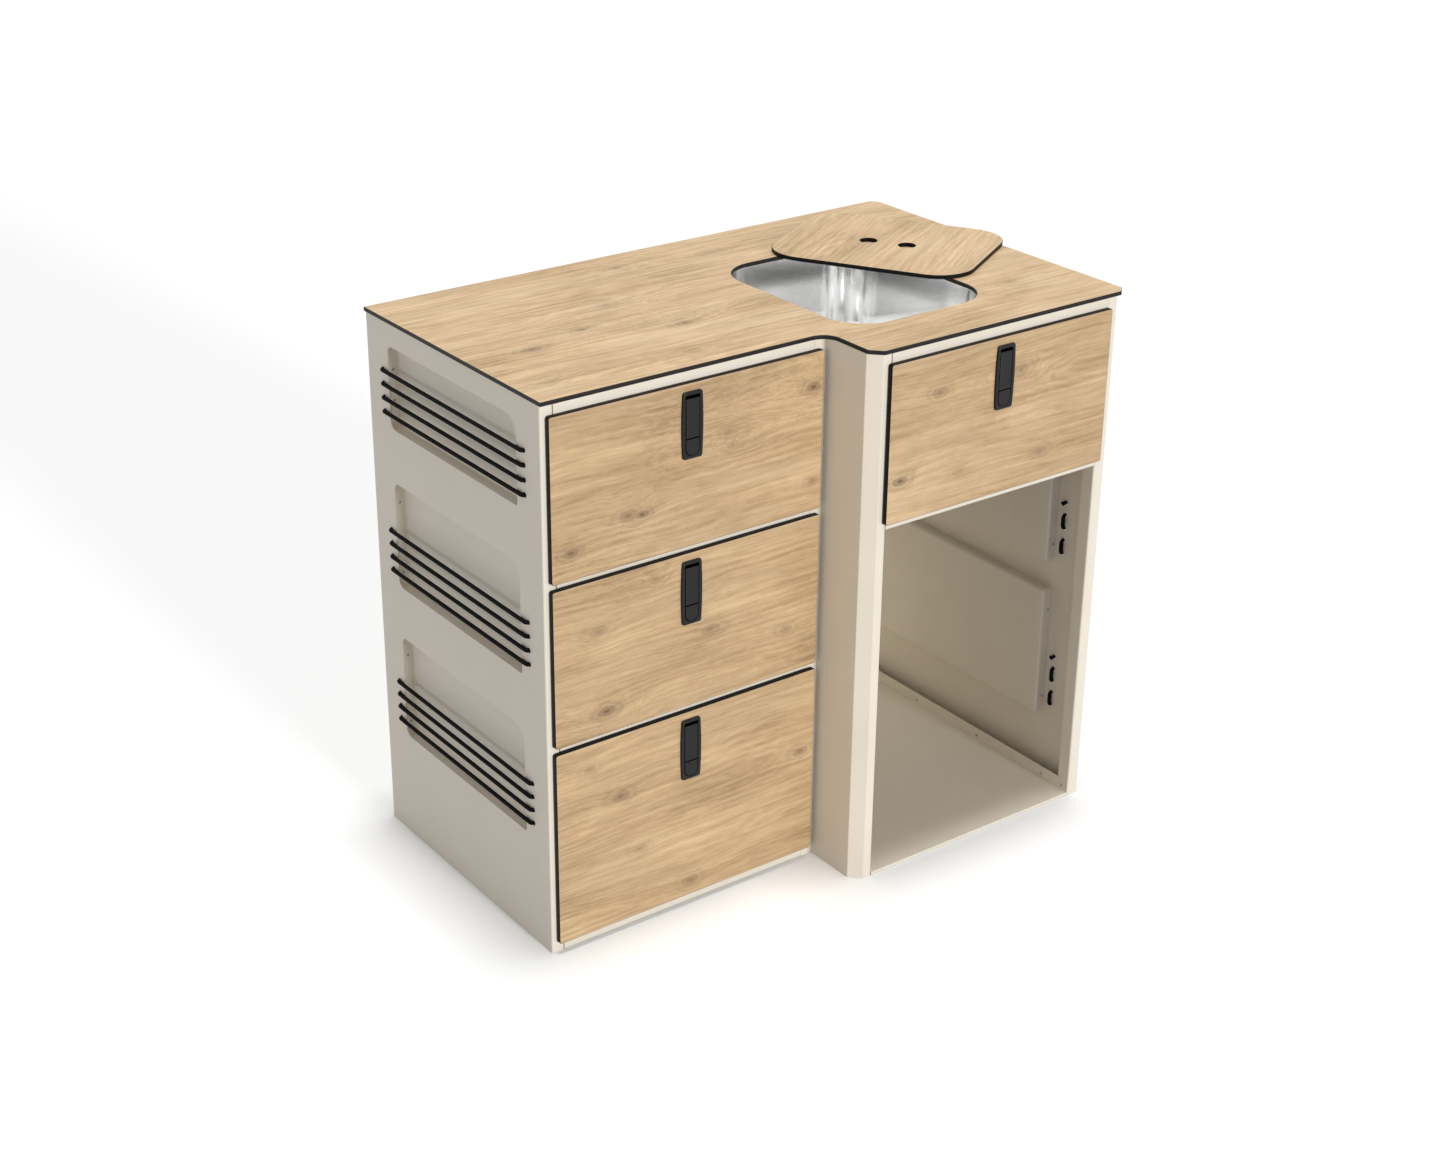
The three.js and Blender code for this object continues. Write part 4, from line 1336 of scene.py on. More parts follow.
@dataclass
class Carcass(Assembly):
    """The folded steel carcass.

    Attributes:
        height: Its height.
        left_width: Width of the left-hand module.
        width: Width of both modules.
        depth: Depth of the left-hand module.
        step: How far the right-hand module stands forward.
        post: Width of the posts.
        lip: Depth of the lips behind them.
        chamfer: Size of the chamfer on the divider's post.
        divider_face: Width of the divider's post beside the chamfer.
        fold: Outside radius of the folds.
        fold_steps: Straight stretches in a fold.
        sheet: The sheet that the panels are folded from.
        notch: Front, back and top of the notch in the divider that the floor pan passes.
        pan_rivets: Places on Y of the rivets that hold the floor pan to the right-hand panel.
        pan_rivet_height: Their height.
        pan_rivet_inset: From the right-hand post's inner edge to the pan's own edge.
        box_rivet_depth: From a panel's outer face to the rivets of its boxes.
        skirt_gap: Room at each end of the floor pan's skirt.
        skirt_y: The skirt's two faces, from the module's front.
        skirt_z: Its bottom and top.
        skirt_edge: Width of the rounding of its edges.
        shown: The CAD nodes of the carcass that are shown as they are.
    """

    height: float = 853.5
    left_width: float = 480.5
    width: float = 952.1
    depth: float = 474.5
    step: float = 107
    post: float = 21
    lip: float = 24
    chamfer: float = 17.5
    divider_face: float = 15.5
    fold: float = 3
    fold_steps: int = 6
    sheet: Sheet = Sheet(1.5)
    notch: tuple[float, float, float] = (29.7, 444.8, 6.1)
    pan_rivets: tuple[float, ...] = (-94, -46, 111, 266, 420)
    pan_rivet_height: float = 13.2
    pan_rivet_inset: float = 1.8
    box_rivet_depth: float = 8
    skirt_gap: float = 0.5
    skirt_y: Span = (0.3, 1.5)
    skirt_z: Span = (0.3, 4.4)
    skirt_edge: float = 0.3
    shown: tuple[str, ...] = (
        "floor_pan", "rear_panel", "top_rail_left", "top_rail_right",
        "drawer_rail_upper", "drawer_rail_lower", "bay_rail",
    )

    def bay(self) -> float:
        """Returns the place on X of the divider post's edge at the open bay."""
        return self.left_width + self.chamfer + self.divider_face

    def pockets(self) -> list[Pocket]:
        """Lists the pockets.

        Returns:
            The three pockets in the left-hand panel and the two in the right-hand one.
        """
        left = {"wall": 0, "inward": 1, "y": (61.756, 412.744)}
        left |= {"lines": 4, "rise": 23.5, "reach": (19.8, 15)}
        right = {"wall": self.width, "inward": -1, "y": (-17.304, 384.804)}
        right |= {"lines": 5, "rise": 17.2, "reach": (17.5, 17.5)}
        tall, low, wide = (0.122, 0.8), (0.325, 0.7), (0.125, 0.84)
        return [
            Pocket(self.shop, name, z=(bottom, bottom + height), rivets=rivets, **side)
            for name, side, bottom, height, rivets in (
                ("left_bottom", left, 177.101, 170.017, tall),
                ("left_middle", left, 433.493, 170.017, tall),
                ("left_top", left, 689.884, 129.22, low),
                ("right_bottom", right, 114.625, 220.459, wide),
                ("right_top", right, 387.66, 220.459, wide),
            )
        ]

    def panel(
        self, ways: Sequence[Outline], wall_x: float, pockets: Sequence[Pocket], notched: bool
    ) -> Form:
        """A full-height folded panel, with its openings.

        Args:
            ways: The bends at its front and back, each a way on the ground that ends at the wall.
            wall_x: The wall's place on X.
            pockets: The pockets in it.
            notched: Whether the floor pan passes under it.

        Returns:
            Its outer skin.
        """
        form = Form()
        ends = []
        for corners in ways:
            points = filleted([*corners, (wall_x, self.depth / 2)], self.fold, self.fold_steps)[:-1]
            form.strip(points, (0, self.height))
            ends.append(points[-1][1])
        near, far = min(ends), max(ends)
        front, back, top = self.notch
        foot = [(front, 0), (front, top), (back, top), (back, 0)] if notched else []
        outline = [(near, 0), *foot, (far, 0), (far, self.height), (near, self.height)]
        holes = [hole for pocket in pockets for hole in (pocket.outline(), *pocket.holes())]
        form.flat([outline, *holes], Axis.X, wall_x)
        return form

    def painted(self, name: str, form: Form, *replaces: str) -> None:
        """Finishes an open skin as a painted sheet of the carcass."""
        cream = ["cream_powder_coat"]
        self.shop.piece(name, form, cream, "carcass", Slot.CREAM, replaces, self.sheet)

    def outer_panels(self) -> None:
        """Builds the left-hand and the right-hand panel."""
        back = self.depth
        for side, wall_x, front, inward in (
            ("left", 0, 0, 1),
            ("right", self.width, -self.step, -1),
        ):
            lip_x = wall_x + inward * self.post
            ways = [
                [(lip_x, front + self.lip), (lip_x, front), (wall_x, front)],
                [(lip_x, back - self.lip), (lip_x, back), (wall_x, back)],
            ]
            own = [pocket for pocket in self.pockets() if pocket.inward == inward]
            panel = self.panel(ways, wall_x, own, False)
            panel.face_towards((-inward, 0, 0))
            self.painted(f"{side}_panel", panel, f"{side}_side_panel")

    def divider(self) -> None:
        """Builds the divider, whose front post is chamfered."""
        front, back, bay = -self.step, self.depth, self.bay()
        ways = [
            [
                (bay, front + self.lip),
                (bay, front),
                (self.left_width + self.chamfer, front),
                (self.left_width, front + self.chamfer),
            ],
            [(bay, back - self.lip), (bay, back), (self.left_width, back)],
        ]
        divider = self.panel(ways, self.left_width, [], True)
        divider.face_towards((-1, 0, 0))
        self.painted("divider", divider, "divider_panel")

    def welded_posts(self) -> None:
        """Builds the two angles on the divider, the left-hand module's right-hand posts."""
        nook = self.left_width - self.post
        for name, face, lip, look in (
            ("front", 0, self.lip, -1),
            ("rear", self.depth, self.depth - self.lip, 1),
        ):
            form = Form()
            corners = [(self.left_width, face), (nook, face), (nook, lip)]
            form.strip(filleted(corners, self.fold, self.fold_steps), (0, self.height))
            form.face_towards((0, look, 0))
            self.painted(f"welded_post_{name}", form)

    def skirt(self) -> None:
        """Builds the strips folded down from the floor pan's two front edges."""
        form = Form()
        near, far = self.skirt_y
        for left, right, face in (
            (self.post, self.left_width - self.post, 0),
            (self.bay(), self.width - self.post, -self.step),
        ):
            span = (left + self.skirt_gap, right - self.skirt_gap)
            form.block(span, (face + near, face + far), self.skirt_z, self.skirt_edge)
        self.shop.piece("pan_skirt", form, ["cream_powder_coat"], "carcass", Slot.CREAM)

    def rivets(self) -> None:
        """Builds the rivets of the pocket boxes and the floor pan, as one piece."""
        form = Form()
        pan_x = self.width - self.post - self.pan_rivet_inset
        for y in self.pan_rivets:
            rivet(form, Vector((pan_x, y, self.pan_rivet_height)), Axis.X)
        for pocket in self.pockets():
            x = pocket.wall + pocket.inward * self.box_rivet_depth
            front = pocket.y[0] - pocket.clearance - pocket.box_sheet.thickness
            back = pocket.y[1] + pocket.clearance
            for share in pocket.rivets:
                z = pocket.z[0] + (pocket.z[1] - pocket.z[0]) * share
                rivet(form, Vector((x, back, z)), Axis.Y)
                rivet(form, Vector((x, front, z)), Axis.Y)
        self.shop.piece("rivets", form, ["rivet_steel", "dark_hole"], "carcass", Slot.ZINC)

    def build(self) -> None:
        """Builds the panels, the pockets' boxes and the fasteners."""
        self.outer_panels()
        self.divider()
        self.welded_posts()
        for pocket in self.pockets():
            pocket.box()
        self.rivets()
        self.skirt()
        for name in self.shown:
            self.shop.dress(name, "cream_powder_coat")


def rivet(form: Form, foot: Vector, axis: Axis) -> None:
    """A blind rivet's head with the dimple of its pin.

    Args:
        form: The form that it is added to.
        foot: Where its middle lies on the sheet.
        axis: The axis that it stands along, towards the lower end.
    """
    before = set(form.bm.faces)
    radius = RIVET_RADIUS
    hole = radius * 0.38
    profile = [(radius, 0.0), (radius * 0.94, radius * 0.22), (radius * 0.72, radius * 0.4)]
    profile += [(hole, radius * 0.46), (hole, radius * 0.1), (0.0, radius * 0.1)]
    form.turned(profile, foot, axis, 16, -1)
    # The dimple's faces take the second finish, painted shade of a deep pin hole.
    for face in set(form.bm.faces) - before:
        middle = face.calc_center_median()
        if (middle - foot).length < hole:
            face.material_index = 1


@dataclass
class Boards(Assembly):
    """The compact boards: worktop, sink lid and drawer fronts, with oak faces and black edges.

    Attributes:
        edge: Width of the rounding of a board's edges.
    """

    edge: float = 0.9

    def face(self, form: Form, axis: Axis) -> None:
        """Rounds a board's edges and gives its edge faces the black core.

        Args:
            form: The board's form.
            axis: The axis through its thickness.
        """
        form.close_up()
        form.round_sharp(self.edge)
        form.bm.normal_update()
        for face in form.bm.faces:
            face.material_index = 0 if abs(face.normal[axis.value]) > SQUARE else 1


@dataclass
class Worktop(Boards):
    """The L-shaped worktop and the sink's lid that lies on it.

    Attributes:
        z: Underside and top of the worktop.
        left: Its left end.
        front: Its front over the left-hand module.
        rear: Its rear end.
        right: Its right end.
        step_x: The place on X of its step.
        far: Its front over the right-hand module.
        fillet: Radius of the concave round at the step.
        fillet_steps: Straight stretches in it.
        chamfer: Size of the chamfer on the step's front corner.
        front_clip: Size of the clip at the right front corner.
        rear_clip: Size of the clip at the right rear corner.
        seed: Its depth in the oak decor.
        knots: The knots in it.
        sink_x: Left and right ends of the sink's cut-out.
        sink_y: Its front and back ends.
        sink_corner: Radius of its corners.
        corner_steps: Straight stretches in the corners of the cut-out and the lid.
        lid_middle: The lid's middle on X and Y.
        lid_size: The lid's width and depth before it is turned.
        lid_corner: Radius of its corners.
        lid_turn: How far it is turned, in degrees.
        lid_lift: Room between the lid and the worktop.
        lid_seed: Its depth in the oak decor.
        finger_hole: Radius of the finger holes.
        finger_sides: Sides of their outline.
        finger_pitch: From one finger hole to the other.
    """

    z: Span = (853.8, 860.1)
    left: float = -1
    front: float = -3.5
    rear: float = 477.6
    right: float = 969.5
    step_x: float = 480
    far: float = -110.5
    fillet: float = 27
    fillet_steps: int = 14
    chamfer: float = 17
    front_clip: float = 14
    rear_clip: float = 11.5
    seed: float = 1.7
    knots: tuple[Knot, ...] = make_knots(
        (203, 208, 7, 0.8), (101, 178, 9, 0.85), (341, 149, 9, 0.8), (404, 419, 7, 0.6),
        (51, 55, 11, 0.4), (293, 278, 13, 0.4), (281, 49, 9, 0.4), (850, 20, 9, 0.5),
        (560, 400, 10, 0.4),
    )
    sink_x: Span = (520.5, 789.5)
    sink_y: Span = (-14.5, 321.5)
    sink_corner: float = 65
    corner_steps: int = 16
    lid_middle: Point = (815, 261.5)
    lid_size: Point = (261.2, 328.2)
    lid_corner: float = 61.1
    lid_turn: float = 30.3
    lid_lift: float = 0.3
    lid_seed: float = 4.1
    finger_hole: float = 13.5
    finger_sides: int = 36
    finger_pitch: float = 64

    def outline(self) -> list[Point]:
        """Draws the worktop's outline.

        Returns:
            Its corners from the left front one on, anticlockwise.
        """
        inner = (self.step_x - self.fillet, self.front - self.fillet)
        return [
            (self.left, self.front),
            *arc(inner, self.fillet, 90, 0, self.fillet_steps),
            (self.step_x, self.far + self.chamfer),
            (self.step_x + self.chamfer, self.far),
            (self.right - self.front_clip, self.far),
            (self.right, self.far + self.front_clip),
            (self.right, self.rear - self.rear_clip),
            (self.right - self.rear_clip, self.rear),
            (self.left, self.rear),
        ]

    def build(self) -> None:
        """Builds the worktop and the lid."""
        form = Form()
        hole = rounded(self.sink_x, self.sink_y, [self.sink_corner] * 4, self.corner_steps)
        form.slab([self.outline(), hole], Axis.Z, self.z)
        self.face(form, Axis.Z)
        oak = self.shop.finish.oak("oak_worktop", Axis.Z, self.seed, knots=self.knots)
        # Its edges take the core painted lighter, which stands in for the front lamp's light on them.
        finish = [oak, "worktop_core"]
        self.shop.piece("worktop_board", form, finish, "carcass", Slot.OAK, ["worktop"])
        self.lid()

    def lid(self) -> None:
        """Builds the sink's lid where it lies on the worktop."""
        form = Form()
        x, y = self.lid_size[0] / 2, self.lid_size[1] / 2
        outlines = [rounded((-x, x), (-y, y), [self.lid_corner] * 4, self.corner_steps)]
        for side in (-1, 1):
            middle = (0, side * self.finger_pitch / 2)
            outlines.append(circle(middle, self.finger_hole, self.finger_sides))
        form.slab(outlines, Axis.Z, (0, self.z[1] - self.z[0]))
        self.face(form, Axis.Z)
        turn = Matrix.Rotation(math.radians(self.lid_turn), 4, "Z")
        place = Vector((*self.lid_middle, self.z[1] + self.lid_lift))
        form.bm.transform(Matrix.Translation(place) @ turn)
        oak = self.shop.finish.oak("oak_lid", Axis.Z, self.lid_seed, turn=self.lid_turn)
        self.shop.piece("lid_board", form, [oak, "black_core"], "sink_lid", Slot.OAK, ["sink_lid"])


@dataclass
class Sink(Assembly):
    """The stainless bowl under the cut-out and the waste fitting in its floor.

    Attributes:
        middle: Its middle on X and Y.
        half: Half its width and half its depth at the cut-out.
        corner: Radius of its corners there.
        corner_steps: Straight stretches in a corner.
        top: Height of its flange.
        depth: How deep it is.
        sheet: The sheet that it is drawn from.
        flange: Width of its flange.
        rim: Radius of the round between the flange and the walls.
        draft: How far its walls come in from top to bottom.
        wall_steps: Number of stretches in the walls.
        fillet: Radius of the round between the walls and the floor.
        fillet_steps: Straight stretches in that round.
        drain: Radius of the hole in its floor.
        drain_sides: Sides of its outline.
        waste: The waste fitting's section, as radii and heights over the floor.
        waste_sides: Steps in the fitting's whole turn.
        bar: Half the length, half the width and the depth of the bars in the waste.
        bar_edge: Width of the rounding of their edges.
    """

    middle: Point = (655, 153.5)
    half: Point = (134.5, 168)
    corner: float = 65
    corner_steps: int = 16
    top: float = 853.5
    depth: float = 140
    sheet: Sheet = Sheet(1, 0.2)
    flange: float = 12
    rim: float = 1.5
    draft: float = 6
    wall_steps: int = 5
    fillet: float = 25
    fillet_steps: int = 8
    drain: float = 30.3
    drain_sides: int = 48
    waste: Outline = (
        (26, 2.3), (26, -28.3), (17, -28.3), (17, -45.3), (20, -45.3), (20, -31.3), (29, -31.3),
        (30, -30.3), (30, -11.3), (36.4, -11.3), (37, -10.7), (37, -1.9), (36.4, -1.3), (30, -1.3),
        (30, 0.3), (40, 0.3), (40, 1.2), (38.6, 2.0), (36, 2.3), (28, 2.3), (27, 2.3), (26, 2.3),
    )
    waste_sides: int = 64
    bar: tuple[float, float, float] = (27, 1.5, 3)
    bar_edge: float = 0.5

    def ring(self, inset: float, z: float) -> list[Vector]:
        """Draws the cut-out's outline at a height.

        Args:
            inset: How far it is drawn in.
            z: The height.

        Returns:
            Its points.
        """
        x, y = self.half[0] - inset, self.half[1] - inset
        outline = rounded((-x, x), (-y, y), [self.corner - inset] * 4, self.corner_steps)
        return [Vector((self.middle[0] + u, self.middle[1] + v, z)) for u, v in outline]

    def rings(self) -> list[list[Vector]]:
        """Draws the bowl's outlines from its flange to its floor.

        Returns:
            The outlines.
        """
        rim, floor = self.rim, self.top - self.depth
        rings = [self.ring(-self.flange, self.top), self.ring(-rim, self.top)]
        for out, down in arc((-rim, -rim), rim, 90, 0, 4)[1:]:
            rings.append(self.ring(-(out + rim), self.top + down))
        for step in range(1, self.wall_steps):
            share = step / self.wall_steps
            drop = rim + (self.depth - self.fillet - rim) * share
            rings.append(self.ring(self.draft * share, self.top - drop))
        for step in range(self.fillet_steps + 1):
            angle = math.pi / 2 * step / self.fillet_steps
            inset = self.draft + self.fillet * (1 - math.cos(angle))
            rings.append(self.ring(inset, floor + self.fillet * (1 - math.sin(angle))))
        return rings

    def build(self) -> None:
        """Builds the bowl and its waste fitting."""
        form = Form()
        floor = self.top - self.depth
        rings = self.rings()
        form.rings(rings, cap=False)
        edge = [(v.x, v.y) for v in rings[-1]]
        form.flat([edge, circle(self.middle, self.drain, self.drain_sides)], Axis.Z, floor)
        form.face_towards((0, 0, 1))
        steel = ["brushed_stainless"]
        self.shop.piece("bowl", form, steel, "carcass", Slot.STAINLESS, ["sink_bowl"], self.sheet)
        self.drain_fitting()

    def drain_fitting(self) -> None:
        """Builds the waste fitting: flange, cup, clamping nut, tail and the crossed bars."""
        form = Form()
        floor = self.top - self.depth
        x, y = self.middle
        form.turned(self.waste, Vector((x, y, floor)), Axis.Z, self.waste_sides)
        long, narrow, deep = self.bar
        for reach_x, reach_y in ((long, narrow), (narrow, long)):
            span_x, span_y = (x - reach_x, x + reach_x), (y - reach_y, y + reach_y)
            form.block(span_x, span_y, (floor - deep, floor), self.bar_edge)
        steel = ["brushed_stainless"]
        self.shop.piece("waste_fitting", form, steel, "carcass", Slot.STAINLESS, ["sink_waste"])


@dataclass
class Latch(Assembly):
    """A flush latch, measured from the middle of its bezel on the front's outer face.

    Attributes:
        drawer: Its drawer's name in the CAD nodes.
        x: Its middle on X.
        y: The front's outer face on Y.
        z: Its middle on Z.
        bolt_top: Top end of its bolt, in carcass millimetres.
        height: Height of the bezel.
        end_width: Its width at its ends.
        bow: How far its sides are bowed out.
        bow_steps: Straight stretches in a side.
        corner: Radius of its corners.
        proud: How far it stands out of the front.
        bevel: Radius of its rounded rim.
        seat: The place on Y of its back.
        window: Half the width, the bottom and the top of its window.
        window_corner: Radius of the window's lower corners.
        window_top: Radius of its upper corners.
        inner: The window's wall, as margins and depths behind the bezel's face.
        floor: The place on Y of the well's floor.
        outside: The well's outer wall, as margins and places on Y.
        case: The three spans of the mechanism's case.
        case_edge: Width of the rounding of its edges.
        bolt: The bolt's spans on X and Y.
        bolt_foot: The place on Z of its lower end.
        bolt_edge: Width of the rounding of its edges.
        screws: The places on Z of the screws in the case.
        screw_y: The place on Y where their heads begin.
        screw: The section of a screw's head, as radii and heights.
        lever_z: Bottom and top of the lever.
        lever_x: Half the width of the lever and the button.
        lever_y: Their face, and the lever's back.
        lever_edge: Width of the rounding of the lever's and the button's edges.
        lever_rim: Width of the rim round the lever's dished face.
        lever_dish: Depth of the dish.
        pin: The section of the lever's pins, as radii and heights.
        pin_sunk: How deep a pin begins in the lever's side.
        button_z: Bottom and top of the button.
        button_radii: Radii of the button's lower and upper corners.
        button_depth: Depth of the button.
        stem: Half the width of the button's stem.
        stem_y: The stem's two ends, from the button's back.
    """

    drawer: str
    x: float
    y: float
    z: float
    bolt_top: float
    height: float = 99
    end_width: float = 33
    bow: float = 1.5
    bow_steps: int = 12
    corner: float = 4
    proud: float = 4
    bevel: float = 1.6
    seat: float = -0.3
    window: tuple[float, float, float] = (11.75, -45, 43.5)
    window_corner: float = 11
    window_top: float = 1.0
    inner: Outline = ((1.4, 0.0), (0.3, 1.0), (0.0, 1.8))
    floor: float = 10.2
    outside: Outline = ((1.8, -0.3), (1.8, 11.6), (1.4, 12.0))
    case: tuple[Span, Span, Span] = ((-10, 10), (12.1, 23), (-20, 45.3))
    case_edge: float = 1.0
    bolt: tuple[Span, Span] = ((-5, 5), (15, 20))
    bolt_foot: float = 40.3
    bolt_edge: float = 0.6
    screws: tuple[float, ...] = (-14, 8, 30)
    screw_y: float = 22.9
    screw: Outline = ((2.6, 0.0), (2.6, 0.8), (2.0, 1.2), (0.0, 1.2))
    lever_z: Span = (-20, 39.2)
    lever_x: float = 11.25
    lever_y: Span = (-3.4, 2.0)
    lever_edge: float = 0.5
    lever_rim: float = 1.3
    lever_dish: float = 0.45
    pin: Outline = ((1.5, 0.0), (1.5, 1.2), (1.3, 1.4), (0.0, 1.4))
    pin_sunk: float = 0.1
    button_z: Span = (-44.5, -20.5)
    button_radii: Span = (10.5, 0.6)
    button_depth: float = 8
    stem: float = 3
    stem_y: Span = (-0.3, 8)

    def rim(self, inset: float) -> list[Point]:
        """Draws the bezel's outline with its bowed sides.

        Args:
            inset: How far it is drawn in.

        Returns:
            Its points, anticlockwise from the lower left corner.
        """
        end, half = self.end_width / 2 - inset, self.height / 2 - inset
        radius = self.corner - inset
        straight = half - radius
        steps = self.bow_steps
        bows = [-straight + 2 * straight * step / steps for step in range(1, steps)]

        def side(sign: int, heights: Iterable[float]) -> list[Point]:
            """Returns the points of a bowed side."""
            return [(sign * (end + self.bow * (1 - (z / straight) ** 2)), z) for z in heights]

        return [
            *arc((-end + radius, -straight), radius, 180, 270, 6),
            *arc((end - radius, -straight), radius, 270, 360, 6),
            *side(1, bows),
            *arc((end - radius, straight), radius, 0, 90, 6),
            *arc((-end + radius, straight), radius, 90, 180, 6),
            *side(-1, reversed(bows)),
        ]

    def window_outline(self, margin: float) -> list[Point]:
        """Draws the window's outline, which is round at its lower end.

        Args:
            margin: How far it is grown.

        Returns:
            Its points.
        """
        x, bottom, top = self.window
        radii = [self.window_corner + margin] * 2 + [self.window_top + margin] * 2
        return rounded((-x - margin, x + margin), (bottom - margin, top + margin), radii, 10)

    def window_rings(self, stops: Outline) -> list[list[Vector]]:
        """Returns the window's outlines at pairs of a margin and a place on Y."""
        return [[Vector((x, y, z)) for x, z in self.window_outline(margin)] for margin, y in stops]

    def moulding(self, form: Form, part: str, body: str, node: str) -> None:
        """Moves a form to the latch's place and finishes it in black plastic.

        Args:
            form: The form, in the latch's own frame.
            part: First words of the piece's name.
            body: First word of the body that it rides on.
            node: Last word of the CAD node that it stands for.
        """
        bmesh.ops.translate(form.bm, verts=form.bm.verts, vec=Vector((self.x, self.y, self.z)))
        self.shop.piece(
            f"{part}_{self.drawer}",
            form,
            ["black_moulding"],
            f"{body}_{self.drawer}",
            Slot.BLACK,
            [f"latch_{node}_{self.drawer}"],
        )

    def housing(self) -> None:
        """Builds the bezel, the well behind its window, the mechanism's case and the bolt."""
        form = Form()
        lip = self.inner[0][0]
        outer_margin = self.outside[0][0]
        round_middle = (self.bevel, self.bevel - self.proud)
        stops = [(0.0, self.seat), (0.0, self.bevel - self.proud)]
        stops += arc(round_middle, self.bevel, 180, 270, 4)[1:]
        form.rings([[Vector((x, y, z)) for x, z in self.rim(inset)] for inset, y in stops], cap=False)
        form.flat([self.rim(self.bevel), self.window_outline(lip)], Axis.Y, -self.proud)
        inner = [(margin, depth - self.proud) for margin, depth in self.inner]
        form.rings(self.window_rings([*inner, (0.0, self.floor)]))
        form.flat([self.rim(0), self.window_outline(outer_margin)], Axis.Y, self.seat)
        form.rings(self.window_rings(self.outside))
        form.close_up()
        form.block(*self.case, self.case_edge)
        form.block(*self.bolt, (self.bolt_foot, self.bolt_top - self.z), self.bolt_edge)
        for z in self.screws:
            form.turned(self.screw, Vector((0, self.screw_y, z)), Axis.Y, 20)
        self.moulding(form, "latch_bezel", "drawer", "housing")

    def lever(self) -> None:
        """Builds the pull lever, whose face is dished inside a narrow rim."""
        form = Form()
        face, back = self.lever_y
        radius = (back - face) / 2
        pivot = (face + radius, self.lever_z[0] + radius)
        profile = [(back, self.lever_z[1]), (face, self.lever_z[1])]
        profile += arc(pivot, radius, 180, 360, 10)
        form.slab([profile], Axis.X, (-self.lever_x, self.lever_x))
        form.close_up()
        form.round_sharp(self.lever_edge)
        form.bm.normal_update()
        front = [f for f in form.bm.faces if f.normal.y < -NEARLY_SQUARE]
        bmesh.ops.inset_region(form.bm, faces=front, thickness=self.lever_rim, use_even_offset=True)
        inner = [f for f in form.bm.faces if f.normal.y < -NEARLY_SQUARE and f in front]
        verts = list({v for f in inner for v in f.verts})
        bmesh.ops.translate(form.bm, verts=verts, vec=Vector((0, self.lever_dish, 0)))
        for sign in (-1, 1):
            foot = Vector((sign * (self.lever_x - self.pin_sunk), *pivot))
            form.turned(self.pin, foot, Axis.X, 16, sign)
        self.moulding(form, "pull_lever", "lever", "lever")

    def button(self) -> None:
        """Builds the push button with its round lower end and its stem."""
        form = Form()
        x = self.lever_x
        low, high = self.button_radii
        outline = rounded((-x, x), self.button_z, [low, low, high, high], 10)
        back = self.lever_y[0] + self.button_depth
        form.slab([outline], Axis.Y, (self.lever_y[0], back))
        form.close_up()
        form.round_sharp(self.lever_edge)
        middle = sum(self.button_z) / 2
        stem_y = (back + self.stem_y[0], back + self.stem_y[1])
        stem_z = (middle - self.stem, middle + self.stem)
        form.block((-self.stem, self.stem), stem_y, stem_z, self.lever_edge)
        self.moulding(form, "push_button", "button", "button")

    def build(self) -> None:
        """Builds the housing, the lever and the button."""
        self.housing()
        self.lever()
        self.button()


